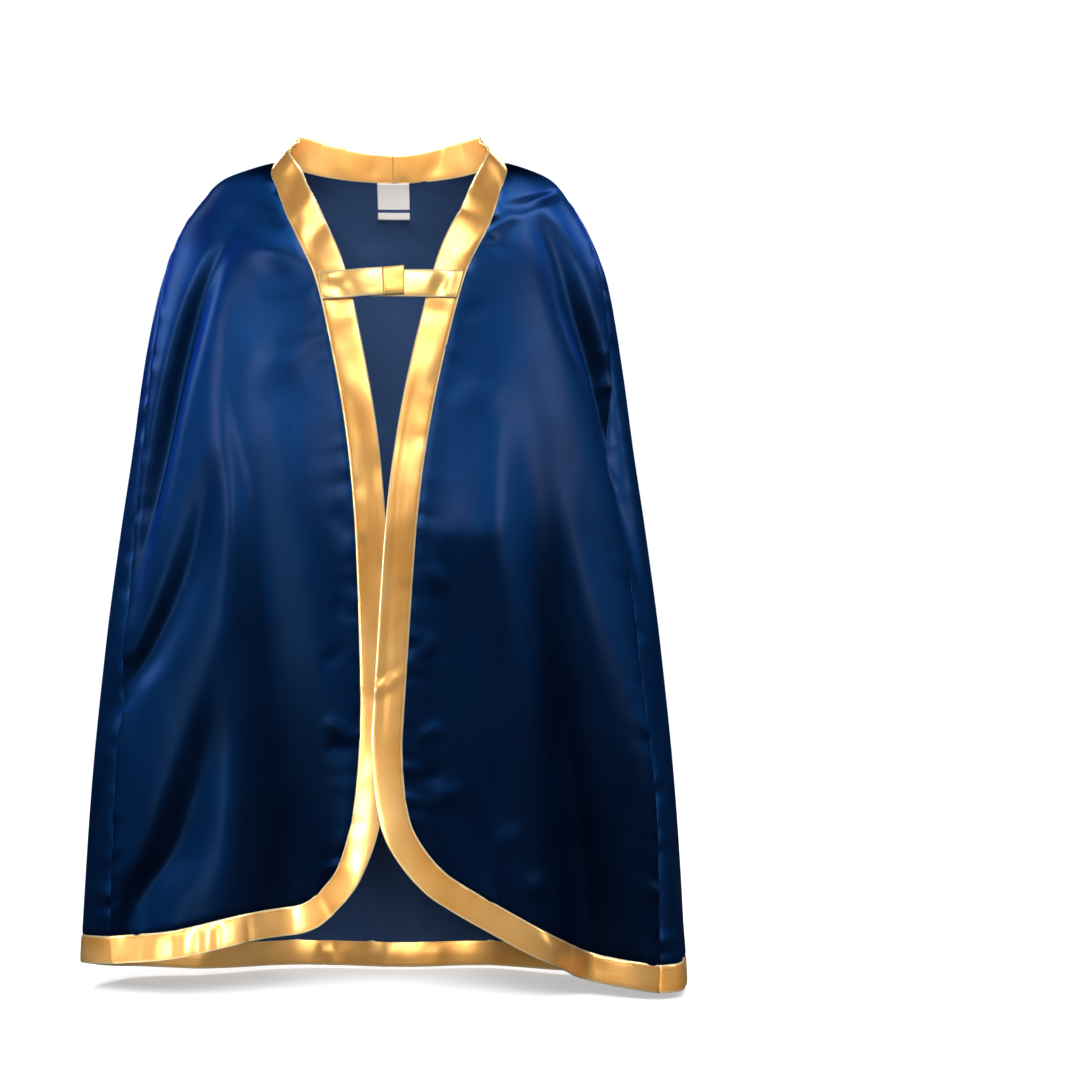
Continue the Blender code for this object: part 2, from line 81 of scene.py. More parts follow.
# Large folds, each from its top down: turn, height, half width before and after it in degrees, out in mm
folds = {
    "rightArmTrough": [(-44.2, -0.040, 3.5, 5.5, 0), (-52.5, -0.110, 4.1, 6.5, -9.5), (-59.0, -0.187, 3.6, 6.3, -13.5),
                       (-62.4, -0.260, 3.4, 6.4, -12), (-64.0, -0.375, 4.1, 5.5, 0)],
    "rightChestRidge": [(-48.5, -0.050, 10.0, 7.0, 0), (-41.0, -0.140, 9.0, 5.8, 3.5), (-37.8, -0.204, 8.5, 5.5, 3),
                        (-33.2, -0.268, 8.0, 4.5, 5), (-33.5, -0.400, 7.0, 4.5, 1.5), (-33.5, -0.500, 7.0, 4.5, 0)],
    "rightHipTrough": [(-37.0, -0.225, 4.0, 6.5, 0), (-43.0, -0.307, 4.4, 7.2, -7), (-48.5, -0.355, 4.6, 7.4, -8.5),
                       (-55.5, -0.395, 5.2, 7.6, -8), (-63.5, -0.425, 5.4, 7.8, -5), (-72.0, -0.465, 6.0, 8.2, 0)],
    "rightHemTrough": [(-37.5, -0.150, 3.5, 6.5, 0), (-33.8, -0.200, 3.5, 7.0, -2.5), (-26.0, -0.300, 3.8, 9.4, -8),
                       (-22.2, -0.400, 4.8, 10.4, -13.5), (-19.6, -0.490, 6.0, 11.4, -21.5), (-17.4, -0.580, 6.6, 10.2, -30),
                       (-15.2, -0.700, 7.6, 11.2, -31)],
    "rightLowTrough": [(-30.0, -0.365, 4.0, 6.0, 0), (-33.4, -0.425, 4.4, 6.5, -3), (-36.0, -0.465, 4.4, 6.9, -6.5),
                       (-39.2, -0.505, 4.6, 7.5, -9.5), (-43.5, -0.548, 5.2, 8.5, -10.5), (-53.0, -0.595, 5.8, 9.0, -7),
                       (-68.0, -0.700, 6.0, 8.4, -3)],
    "leftArmTrough": [(50.0, -0.025, 6.0, 5.0, 0), (56.8, -0.106, 7.5, 6.2, -11), (64.3, -0.162, 7.1, 5.6, -14.5),
                      (69.3, -0.215, 6.8, 4.6, -15), (72.0, -0.280, 6.2, 4.6, -11), (74.0, -0.370, 6.0, 4.8, 0)],
    "leftMidRidge": [(28.5, -0.170, 8.0, 5.3, 0), (25.0, -0.284, 8.5, 6.3, 8), (27.2, -0.362, 7.2, 4.8, 6),
                     (29.8, -0.456, 6.9, 4.6, 4.5), (32.3, -0.566, 6.9, 5.3, 3.5), (31.3, -0.700, 7.0, 5.1, 4.5)],
    "leftHemTrough": [(36.5, -0.150, 5.5, 5.5, 0), (38.0, -0.200, 5.5, 6.0, -1), (38.8, -0.300, 6.2, 6.2, -5.5),
                      (40.2, -0.386, 7.8, 5.6, -14), (42.0, -0.474, 9.0, 6.2, -24), (45.2, -0.578, 10.0, 7.0, -31),
                      (48.5, -0.700, 10.6, 7.6, -32)],
    "leftSideRidge": [(45.0, -0.200, 6.0, 6.0, 0), (53.0, -0.300, 7.2, 7.8, -2.5), (57.2, -0.370, 8.0, 8.2, 1),
                      (61.5, -0.440, 8.6, 9.0, 6.5), (64.5, -0.520, 8.8, 9.2, 11.5), (66.5, -0.600, 9.0, 9.0, 13),
                      (68.5, -0.700, 9.2, 8.6, 12)],
    "backLeftArmTrough": [(108, -0.050, 6, 8, 0), (113, -0.140, 6, 9, -5), (117, -0.260, 6, 9, -6.5),
                          (119, -0.360, 6, 8, -4), (121, -0.450, 6, 8, 0)],
    "backLeftRidge": [(133, -0.160, 8, 7, 0), (131, -0.280, 8, 7, 4), (129, -0.420, 9, 8, 6),
                      (127, -0.560, 9, 8, 7), (126, -0.700, 9, 8, 7)],
    "backLeftTrough": [(148, -0.210, 6, 10, 0), (147, -0.330, 7, 10, -6), (145, -0.460, 8, 11, -9.5),
                       (143, -0.580, 8, 12, -11.5), (142, -0.700, 8, 12, -12)],
    "backMidLeftRidge": [(166, -0.330, 9, 8, 0), (164, -0.450, 9, 8, 4), (162, -0.570, 10, 9, 6), (161, -0.700, 10, 9, 6.5)],
    "backMidTrough": [(183, -0.300, 8, 11, 0), (181, -0.420, 9, 11, -5), (179, -0.550, 9, 12, -8), (177, -0.700, 9, 12, -10)],
    "backMidRightRidge": [(201, -0.290, 9, 9, 0), (200, -0.410, 9, 9, 4), (198, -0.550, 9, 9, 6), (197, -0.700, 9, 9, 6)],
    "backRightTrough": [(214, -0.190, 10, 6, 0), (216, -0.310, 11, 7, -6), (218, -0.450, 12, 8, -10),
                        (219, -0.580, 12, 8, -11), (220, -0.700, 12, 8, -11)],
    "backRightRidge": [(231, -0.170, 7, 8, 0), (234, -0.300, 8, 8, 4.5), (236, -0.450, 8, 8, 6), (238, -0.700, 8, 8, 6)],
    "backRightArmTrough": [(250, -0.050, 8, 6, 0), (247, -0.150, 9, 6, -5.5), (244, -0.270, 9, 6, -6),
                           (241, -0.370, 8, 6, -3.5), (239, -0.450, 8, 6, 0)],
}

# Small creases: turn, height, end turn, end height, half width mm, out mm, bow mm
creases = [
    # right front: beside the neck band, on the chest, then beside the edge band
    (-50.0, -0.043, -17.5, -0.090, 8, 3.2, 3),
    (-52.0, -0.024, -26.0, -0.066, 11, -4.2, -3),
    (-33.0, -0.094, -16.4, -0.111, 10, -1.0, 3),
    (-31.0, -0.151, -13.5, -0.158, 17, 1.8, 2),
    (-27.8, -0.178, -12.9, -0.206, 12, -0.5, 4),
    (-10.0, -0.272, -5.1, -0.303, 6, -1.2, 2),
    (-9.4, -0.346, -4.8, -0.356, 5, -1.0, 1),
    (-11.5, -0.399, -4.7, -0.385, 6, -1.2, 2),
    (-11.2, -0.442, -4.5, -0.449, 5, 1.3, 1),
    (-10.3, -0.459, -4.1, -0.472, 6, -1.3, 2),
    # left front, the same
    (57.0, -0.022, 23.5, -0.078, 9.5, 2.8, -3),
    (64.0, -0.016, 36.0, -0.046, 13, -2.6, 3),
    (18.0, -0.121, 29.7, -0.118, 8, -1.2, 2),
    (15.5, -0.186, 30.5, -0.193, 15, 1.5, 3),
    (10.0, -0.283, 29.5, -0.298, 19, 1.3, -5),
    (8.6, -0.320, 15.2, -0.339, 6, 1.2, 2),
    (7.2, -0.385, 12.8, -0.379, 6, 1.2, -2),
    (7.7, -0.457, 13.6, -0.446, 6, 1.3, 2),
    (8.1, -0.479, 13.8, -0.483, 6, -1.2, -2),
    (9.1, -0.506, 18.0, -0.496, 8, 1.3, 3),
    (21.8, -0.538, 29.6, -0.533, 10, 1.4, 2),
    (26.8, -0.576, 34.6, -0.571, 10, 1.2, 2),
    # back, from both shoulders
    (120, -0.025, 134, -0.110, 8, -1.7, -4),
    (140, -0.020, 152, -0.080, 9, 1.3, 3),
    (128, -0.200, 124, -0.330, 7, 1.6, 3),
    (154, -0.260, 157, -0.420, 8, -1.3, -3),
    (139, -0.440, 133, -0.590, 7, -1.8, 4),
    (171, -0.480, 170, -0.620, 8, 1.4, -3),
    (240, -0.025, 226, -0.115, 8, -1.7, 4),
    (219, -0.020, 207, -0.085, 9, 1.3, -3),
    (233, -0.180, 240, -0.320, 7, 1.5, -3),
    (208, -0.260, 205, -0.410, 8, -1.2, 3),
    (226, -0.420, 231, -0.580, 7, -1.7, -4),
    (190, -0.500, 191, -0.620, 8, 1.3, 3),
]

# Seam lines on the form: turn and height
neckTurn = 96
seams = {
    "leftEdge": [
        (neckTurn, 0.010), (70, 0.0075), (54, 0.002), (44.5, -0.008), (38.5, -0.022), (32, -0.044),
        (23.6, -0.077), (19.0, -0.112), (12.8, -0.189), (8.5, -0.280), (5.4, -0.424), (4.9, -0.475),
        (6.2, -0.519), (9.26, -0.5433), (11.0, -0.5525),
    ],
    "leftHem": [(11.0, -0.5525), (13.8, -0.5633), (21.5, -0.583), (34.7, -0.612), (48.0, -0.631), (62.0, -0.640)],
    "rightEdge": [
        (-neckTurn, 0.010), (-67, 0.0075), (-51, 0.002), (-40, -0.008), (-33.5, -0.022), (-26, -0.044),
        (-18.2, -0.077), (-13.6, -0.111), (-7.8, -0.189), (-4.4, -0.280), (-2.9, -0.400), (-3.0, -0.463),
        (-4.4, -0.519), (-7.0, -0.5547), (-9.0, -0.568),
    ],
    "rightHem": [(-9.0, -0.568), (-10.7, -0.5755), (-15.5, -0.589), (-25.6, -0.5945), (-42.0, -0.6095), (-62.0, -0.618)],
    "backNeck": [(neckTurn, 0.010), (180, 0.010), (360 - neckTurn, 0.010)],
    "backHem": [
        (62, -0.640), (90, -0.640), (130, -0.643), (180, -0.645), (230, -0.640), (270, -0.624), (298, -0.618),
    ],
    "side": [
        (neckTurn, 0.010), (89, -0.015), (82, -0.050), (76, -0.100), (71, -0.220), (66, -0.380), (63, -0.540),
    ],
}


def ease(low, high, value):
    share = np.clip((value - low) / (high - low), 0, 1)
    return share * share * (3 - 2 * share)


def unit(vectors):
    return vectors / np.maximum(np.linalg.norm(vectors, axis=-1, keepdims=True), 1e-12)


# Slope of each ring column at each ring, for a smooth run between them
rings = form["rings"]
ringSlopes = np.array([
    (rings[min(i + 1, len(rings) - 1)] - rings[max(i - 1, 0)])
    / (rings[min(i + 1, len(rings) - 1), 0] - rings[max(i - 1, 0), 0])
    for i in range(len(rings))
])


def ringAt(height):
    height = np.clip(height, rings[-1, 0], rings[0, 0])
    upper = np.clip(np.searchsorted(-rings[:, 0], -height, side="right") - 1, 0, len(rings) - 2)
    step = (rings[upper + 1, 0] - rings[upper, 0])[..., None]
    share = (height - rings[upper, 0])[..., None] / step
    blend = (
        (2 * share**3 - 3 * share**2 + 1) * rings[upper]
        + (share**3 - 2 * share**2 + share) * step * ringSlopes[upper]
        + (3 * share**2 - 2 * share**3) * rings[upper + 1]
        + (share**3 - share**2) * step * ringSlopes[upper + 1]
    )
    return np.moveaxis(blend[..., 1:], -1, 0)


# Length round a middle ring, so that creases keep their real width all round
turnSteps = np.arange(-200, 561)
ringSample = (0.22, 0.112)
arcSteps = np.cumsum(
    np.hypot(ringSample[0] * np.cos(np.radians(turnSteps)), ringSample[1] * np.sin(np.radians(turnSteps)))
) * math.radians(1)


def roundLength(turn, height):
    return np.interp(turn, turnSteps, arcSteps) * ringAt(height)[0] / ringSample[0]


def through(points, places):
    # a smooth curve through points along their first axis, read at places counted in points
    last = len(points) - 1
    i = np.minimum(places.astype(int), last - 1)
    t = (places - i).reshape((-1,) + (1,) * (points.ndim - 1))
    p0, p1 = points[np.maximum(i - 1, 0)], points[i]
    p2, p3 = points[i + 1], points[np.minimum(i + 2, last)]
    return 0.5 * (
        2 * p1 + (p2 - p0) * t + (2 * p0 - 5 * p1 + 4 * p2 - p3) * t**2 + (3 * p1 - p0 - 3 * p2 + p3) * t**3
    )


# A smooth run through each fold's rows
foldRuns = [through(np.array(rows, float), np.linspace(0, len(rows) - 1, 60)) for rows in folds.values()]


def foldOut(turn, height):
    out = np.zeros(np.broadcast(turn, height).shape)
    for run in foldRuns:
        centre, before, after = (np.interp(-height, -run[:, 1], run[:, k]) for k in (0, 2, 3))
        depth = np.interp(-height, -run[:, 1], run[:, 4], left=0) / 1000
        apart = (turn - centre + 180) % 360 - 180
        out += depth * np.exp(-((apart / np.where(apart < 0, before, after)) ** 2))
    return out


def creaseOut(turn, height):
    turn = np.where(turn < -100, turn + 360, turn)
    here = roundLength(turn, height)
    out = np.zeros(np.broadcast(turn, height).shape)
    for startTurn, top, endTurn, bottom, halfWidth, depth, bow in creases:
        start = roundLength(np.float64(startTurn), np.float64(top))
        across = roundLength(np.float64(endTurn), np.float64(bottom)) - start
        down = bottom - top
        length = math.hypot(across, down)
        along = ((here - start) * across + (height - top) * down) / length**2
        aside = ((here - start) * down - (height - top) * across) / length + bow / 1000 * 4 * along * (1 - along)
        window = ease(0, 0.4, along) * ease(0, 0.4, 1 - along)
        out += depth / 1000 * np.exp(-((aside * 1000 / halfWidth) ** 2)) * window
    return out


def lapOut(turn, height, side):
    near = 1 - ease(0, form["lapTurn"], np.abs(turn))
    return side * form["lapLift"] * near * (1 - ease(form["lapFull"], form["lapTop"], height))


def formPoint(turn, height):
    halfWidth, frontDepth, backDepth, centre = ringAt(height)
    angle = np.radians(turn)
    depth = np.where(np.cos(angle) > 0, frontDepth, backDepth)
    behind = np.clip(-np.cos(angle), 0, None) ** 2
    dip = form["neckDip"] * behind * ease(-form["neckDipDepth"], form["neckLevel"], height)
    point = np.stack([centre + halfWidth * np.sin(angle), -depth * np.cos(angle), height - dip], axis=-1)
    out = np.stack([np.sin(angle) * depth, -np.cos(angle) * halfWidth, np.zeros_like(angle)], axis=-1)
    return point, unit(out)


def clothPoint(turn, height, side):
    turn, height = np.broadcast_arrays(np.asarray(turn, float), np.asarray(height, float))
    point, out = formPoint(turn, height)
    lift = foldOut(turn, height) + creaseOut(turn, height) + lapOut(turn, height, side)
    return point + out * lift[..., None]


def clothSlopes(turn, height, side):
    dTurn, dHeight = 0.5, 0.002
    upper = np.minimum(form["neckLevel"], height + dHeight)
    lower = height - dHeight
    roundIt = (clothPoint(turn + dTurn, height, side) - clothPoint(turn - dTurn, height, side)) / (2 * dTurn)
    up = (clothPoint(turn, upper, side) - clothPoint(turn, lower, side)) / (upper - lower)[..., None]
    return roundIt, up, unit(np.cross(roundIt, up))


def runLength(points):
    return np.concatenate([[0], np.cumsum(np.linalg.norm(np.diff(points, axis=0), axis=-1))])


def stationsAlong(marks, count, closer=0.0):
    marks = np.array(marks, float)
    dense = through(marks, np.linspace(0, len(marks) - 1, (len(marks) - 1) * 12 + 1))
    lengths = runLength(formPoint(dense[:, 0], dense[:, 1])[0])
    share = np.linspace(0, 1, count + 1)
    wanted = lengths[-1] * (share - closer * np.sin(2 * np.pi * share) / (2 * np.pi))
    return np.stack([np.interp(wanted, lengths, dense[:, 0]), np.interp(wanted, lengths, dense[:, 1])], axis=-1)


def fillPatch(top, bottom, first, last, easing=24):
    # a grid of marks between four edges, eased so that its cells are even
    v = np.linspace(0, 1, len(first))[:, None, None]
    u = np.linspace(0, 1, len(top))[None, :, None]
    grid = (
        (1 - v) * top[None] + v * bottom[None] + (1 - u) * first[:, None] + u * last[:, None]
        - (1 - u) * (1 - v) * top[0] - u * (1 - v) * top[-1] - (1 - u) * v * bottom[0] - u * v * bottom[-1]
    )
    for _ in range(easing):
        grid[1:-1, 1:-1] = (grid[:-2, 1:-1] + grid[2:, 1:-1] + grid[1:-1, :-2] + grid[1:-1, 2:]) / 4
    return grid


def fineSteps(count, times):
    # even steps, with a few more close to both ends where a seam dips
    close = np.array([0.05, 0.12])
    return np.unique(np.concatenate([np.linspace(0, count, count * times + 1), close, count - close]))


def outwardNormals(points):
    normals = unit(np.cross(np.gradient(points, axis=0), np.gradient(points, axis=1)))
    return normals if (normals[..., :2] * points[..., :2]).sum() > 0 else -normals


# Node setup
def hexColour(text):
    # sRGB hex to linear
    parts = [int(text[i:i + 2], 16) / 255 for i in (1, 3, 5)]
    return tuple(c / 12.92 if c <= 0.04045 else ((c + 0.055) / 1.055) ** 2.4 for c in parts) + (1.0,)


def addNode(material, kind, values=None, links=None, **settings):
    node = material.node_tree.nodes.new(kind)
    for name, value in settings.items():
        setattr(node, name, value)
    for socket, value in (values or {}).items():
        node.inputs[socket].default_value = value
    for socket, source in (links or {}).items():
        material.node_tree.links.new(source, node.inputs[socket])
    return node


def newMaterial(name, roughness, **values):
    material = bpy.data.materials.new(name)
    material.use_nodes = True
    shader = material.node_tree.nodes["Principled BSDF"]
    shader.inputs["Roughness"].default_value = roughness
    for socket, value in values.items():
        shader.inputs[socket].default_value = value
    return material, shader


# Polyester satin, woven with long floats on its face: a broad soft shine that runs in streaks down the warp
def satinMaterial(name, look, paintedEdgeHighlight=None):
    material, shader = newMaterial(name, look["roughness"], **{
        "IOR": 1.5, "Sheen Weight": look["sheen"], "Sheen Roughness": 0.35,
        "Sheen Tint": hexColour(look["sheenColour"]), "Specular IOR Level": look["specular"], "Metallic": look["metallic"],
        "Specular Tint": hexColour(look["edgeColour"]), "Coat Weight": look["coat"], "Coat Roughness": look["coatRoughness"],
        "Anisotropic": look["acrossShine"],
    })
    # The floats run down the cloth, so the shine spreads across it
    across = addNode(material, "ShaderNodeTangent", direction_type="UV_MAP", uv_map="cloth")
    material.node_tree.links.new(across.outputs["Tangent"], shader.inputs["Tangent"])
    uv = addNode(material, "ShaderNodeTexCoord").outputs["UV"]
    # Real floats are about 0.25 mm wide, too fine to show, so they are drawn 0.9 mm wide
    warp = addNode(material, "ShaderNodeMapping", {"Scale": (1 / 0.0009, 1 / 0.030, 1)}, {"Vector": uv})
    streaks = addNode(material, "ShaderNodeTexNoise", {"Scale": 1.0, "Detail": 3.0, "Roughness": 0.55},
                      {"Vector": warp.outputs["Vector"]})
    # Slow changes of tone over about 60 mm, from handling
    slow = addNode(material, "ShaderNodeMapping", {"Scale": (1 / 0.045, 1 / 0.090, 1)}, {"Vector": uv})
    clouds = addNode(material, "ShaderNodeTexNoise", {"Scale": 1.0, "Detail": 2.0}, {"Vector": slow.outputs["Vector"]})
    tone = addNode(material, "ShaderNodeValToRGB", links={"Fac": clouds.outputs["Fac"]})
    tone.color_ramp.elements[0].position = 0.30
    tone.color_ramp.elements[0].color = hexColour(look["deep"])
    tone.color_ramp.elements[1].position = 0.72
    tone.color_ramp.elements[1].color = hexColour(look["light"])
    rough = addNode(material, "ShaderNodeMapRange", {
        "From Min": 0.3, "From Max": 0.7,
        "To Min": look["roughness"] - 0.05, "To Max": look["roughness"] + 0.06,
    }, {"Value": streaks.outputs["Fac"]})
    bump = addNode(material, "ShaderNodeBump", {"Strength": look["bump"], "Distance": 0.0004},
                   {"Height": streaks.outputs["Fac"]})
    colour = tone.outputs["Color"]
    if paintedEdgeHighlight:
        # Painted highlight: a pale colour along each folded edge, about 1 mm wide, for the light that the edge catches
        edge = addNode(material, "ShaderNodeAttribute", attribute_name="edge").outputs["Fac"]
        edgeHighlightShare = addNode(material, "ShaderNodeMapRange", {
            "From Min": 0.0007, "From Max": 0.0020, "To Min": 0.75, "To Max": 0.0}, {"Value": edge})
        colour = addNode(material, "ShaderNodeMix", {7: hexColour(paintedEdgeHighlight)}, {0: edgeHighlightShare.outputs["Result"], 6: colour},
                         data_type="RGBA").outputs[2]
    material.node_tree.links.new(colour, shader.inputs["Base Color"])
    material.node_tree.links.new(rough.outputs["Result"], shader.inputs["Roughness"])
    material.node_tree.links.new(bump.outputs["Normal"], shader.inputs["Normal"])
    return material


looks = {
    "blueFace": {"deep": "#05234a", "light": "#092d58", "sheenColour": "#8fb0e0", "edgeColour": "#3f78c8",
                 "roughness": 0.47, "sheen": 0.0, "specular": 0.2, "bump": 0.10, "metallic": 0.97, "coat": 0.10,
                 "coatRoughness": 0.28, "acrossShine": 0.80},
    "blueReverse": {"deep": "#263e64", "light": "#2f4a75", "sheenColour": "#9db4dc", "edgeColour": "#ffffff",
                    "roughness": 0.72, "sheen": 0.04, "specular": 0.2, "bump": 0.15, "metallic": 0.0, "coat": 0.0,
                    "coatRoughness": 0.4, "acrossShine": 0.0},
    "gold": {"deep": "#e09a48", "light": "#f2be74", "sheenColour": "#fff2b0", "edgeColour": "#fff3b8",
             "roughness": 0.34, "sheen": 0.05, "specular": 0.5, "bump": 0.12, "metallic": 0.45, "coat": 0.0,
             "coatRoughness": 0.3, "acrossShine": 0.0},
}
blueSatin = satinMaterial("blueSatinFace", looks["blueFace"])
blueReverse = satinMaterial("blueSatinReverse", looks["blueReverse"])
# the last colour is the painted highlight along the band edges
goldSatin = satinMaterial("goldSatin", looks["gold"], "#fff0bd")


# Mercerised sewing thread: matt, a little darker than the satin it sews
def threadMaterial(name, colour):
    material, shader = newMaterial(name, 0.55, **{"Base Color": hexColour(colour), "Sheen Weight": 0.2})
    place = addNode(material, "ShaderNodeTexCoord").outputs["Object"]
    # Plies of about 0.3 mm
    twist = addNode(material, "ShaderNodeTexNoise", {"Scale": 1 / 0.0003, "Detail": 1.0}, {"Vector": place})
    bump = addNode(material, "ShaderNodeBump", {"Strength": 0.3, "Distance": 0.0001}, {"Height": twist.outputs["Fac"]})
    material.node_tree.links.new(bump.outputs["Normal"], shader.inputs["Normal"])
    return material


goldThread = threadMaterial("goldSewingThread", "#d9963c")
strapThread = threadMaterial("ochreSewingThread", "#a8752e")


# Meshes
def gridMesh(name, points, lengths, materials, wrapped=False, edge=None):
    # points[j][i] is the place of row j, column i; lengths are its distances across and down, for the weave, and
    # edge its distance to the nearest edge
    rows, columns = points.shape[0] - 1, points.shape[1] - 1
    bm = bmesh.new()
    bmesh.ops.create_grid(bm, x_segments=columns, y_segments=rows, size=0.5)
    uvLayer = bm.loops.layers.uv.new("cloth")
    edgeLayer = bm.verts.layers.float.new("edge") if edge is not None else None
    places = {}
    for vert in bm.verts:
        i = round((vert.co.x + 0.5) * columns)
        j = round((vert.co.y + 0.5) * rows)
        places[vert] = (j, i)
    for face in bm.faces:
        for loop in face.loops:
            loop[uvLayer].uv = lengths[places[loop.vert]]
    for vert, (j, i) in places.items():
        vert.co = points[j, i]
        if edgeLayer:
            vert[edgeLayer] = edge[j, i]
    bm.normal_update()
    middle = max(bm.faces, key=lambda face: face.calc_area())
    j, i = places[middle.verts[0]]
    away = Vector(outwardNormals(points)[j, i])
    if middle.normal.dot(away) < 0:
        bmesh.ops.reverse_faces(bm, faces=bm.faces)
    bmesh.ops.remove_doubles(bm, verts=bm.verts, dist=0.00002)
    if wrapped:
        bmesh.ops.recalc_face_normals(bm, faces=bm.faces)
    mesh = bpy.data.meshes.new(name)
    bm.to_mesh(mesh)
    bm.free()
    mesh.shade_smooth()
    for material in materials:
        mesh.materials.append(material)
    piece = bpy.data.objects.new(name, mesh)
    bpy.context.scene.collection.objects.link(piece)
    return piece


def seat(piece, node):
    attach(piece, "root")
    if node:
        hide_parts(node)


# Uneven waves along a seam, from three lengths that never fall in step
def seamWaves(along, pitch, phase):
    return (
        np.sin(2 * np.pi * along / pitch + phase)
        + 0.7 * np.sin(2 * np.pi * along / (pitch * 1.73) + 2.1 * phase)
        + 0.5 * np.sin(2 * np.pi * along / (pitch * 0.61) + 3.7 * phase)
    ) * (0.55 + 0.45 * np.sin(2 * np.pi * along / (pitch * 5.3) + 1.3 * phase))


panel = {
    "rows": 30, "frontColumns": 16, "backColumns": 26, "closer": 0.45,
    "rowTimes": 6, "columnTimes": 6,
    "thickness": 0.0009,
    "ditch": 0.0009, "ditchReach": 0.0030,      # how far a seam pulls its edge in, and over what
    # depth, reach and pitch of the puckers beside each seam
    "edgePucker": (0.00055, 0.014, 0.021),
    "sidePucker": (0.00060, 0.012, 0.026),
    "hemPucker": (0.00070, 0.022, 0.034),
}


def panelPoints(marks, side, edges, phase):
    points = clothPoint(marks[..., 0], marks[..., 1], side)
    normals = outwardNormals(points)
    normals[0] = normals[1]
    across = np.concatenate(
        [np.zeros((len(points), 1)), np.cumsum(np.linalg.norm(np.diff(points, axis=1), axis=-1), axis=1)], axis=1)
    down = np.concatenate(
        [np.zeros((1, points.shape[1])), np.cumsum(np.linalg.norm(np.diff(points, axis=0), axis=-1), axis=0)], axis=0)
    away = {"first": across, "last": across[:, -1:] - across, "bottom": down[-1:] - down, "top": down}
    along = {"first": down[:, :1], "last": down[:, -1:], "bottom": across[-1:], "top": across[:1]}
    out = np.zeros(points.shape[:2])
    for name, (depth, reach, pitch) in edges.items():
        out += depth * seamWaves(along[name], pitch, phase) * np.exp(-((away[name] / reach) ** 1.3))
        out -= panel["ditch"] * np.exp(-((away[name] / panel["ditchReach"]) ** 2))
        phase += 1.7
    return points + normals * out[..., None], np.stack([across, down], axis=-1)


def panelCloth(name, node, marks, side, edges, phase):
    points, lengths = panelPoints(marks, side, edges, phase)
    piece = gridMesh(name, points, lengths, [blueSatin, blueReverse])
    solidify = piece.modifiers.new("Thickness", "SOLIDIFY")
    solidify.thickness = panel["thickness"]
    solidify.offset = 0
    solidify.material_offset = 1
    seat(piece, node)
    return piece


def sideSeam(hemMark):
    sign = 1 if hemMark[0] > 0 else -1
    marks = [(turn * sign, height) for turn, height in seams["side"]] + [hemMark]
    return stationsAlong(marks, panel["rows"], panel["closer"])


def fineGrid(grid):
    rowSteps = fineSteps(grid.shape[0] - 1, panel["rowTimes"])
    columnSteps = fineSteps(grid.shape[1] - 1, panel["columnTimes"])
    grid = through(grid, rowSteps)
    return np.swapaxes(through(np.swapaxes(grid, 0, 1), columnSteps), 0, 1)


wholeTurn = np.array([360.0, 0.0])
leftSeam, rightSeam = sideSeam(seams["leftHem"][-1]), sideSeam(seams["rightHem"][-1])
backMarks = fineGrid(fillPatch(
    stationsAlong(seams["backNeck"], panel["backColumns"]),
    stationsAlong(seams["backHem"], panel["backColumns"]),
    leftSeam, rightSeam + wholeTurn,
))
frontMarks = {}
for which, seamLine in (("left", leftSeam), ("right", rightSeam)):
    edge = stationsAlong(seams[which + "Edge"], panel["rows"], panel["closer"])
    hem = stationsAlong(seams[which + "Hem"], panel["frontColumns"])
    tip = np.repeat(edge[:1], panel["frontColumns"] + 1, axis=0)
    frontMarks[which] = fineGrid(fillPatch(tip, hem, edge, seamLine))

edgePucker, sidePucker, hemPucker = panel["edgePucker"], panel["sidePucker"], panel["hemPucker"]
backPanel = panelCloth("backPanelSatin", "back_panel", backMarks, 0,
                       {"first": sidePucker, "last": sidePucker, "bottom": hemPucker}, 0.4)
frontPanels = {}
for which, side, phase in (("left", 1, 1.1), ("right", -1, 2.3)):
    frontPanels[which] = panelCloth(
        f"frontPanel{which.title()}Satin", f"front_panel_{which}", frontMarks[which], side,
        {"first": edgePucker, "last": sidePucker, "bottom": hemPucker}, phase)
print("panels sewn")

band = {
    "width": 0.0235, "hemWidth": 0.0215, "narrowsFrom": -0.44, "narrowAt": -0.58,
    # degrees round either way, how far the band stands up off the cloth in degrees, and its width there
    "neck": np.array([
        (0, 0, 0.0235), (15, 8, 0.0235), (28, 24, 0.0235), (38, 35, 0.0235), (48, 38, 0.0235), (58, 33, 0.0240),
        (70, 29, 0.0250), (80, 31, 0.0260), (92, 38, 0.0268), (112, 46, 0.0272), (132, 46, 0.0272),
        (150, 33, 0.0262), (166, 15, 0.0245), (180, 9, 0.0240),
    ]),
    "leanFadesAt": -0.084,
    "thickness": 0.0021, "overSeam": 0.0012, "columns": 14, "endShare": 0.1, "puckerDepth": 0.00030,
    "stitchIn": 0.0022, "stitchPitch": 0.0029, "stitchLength": 0.0021, "stitchRadius": 0.00022,
}
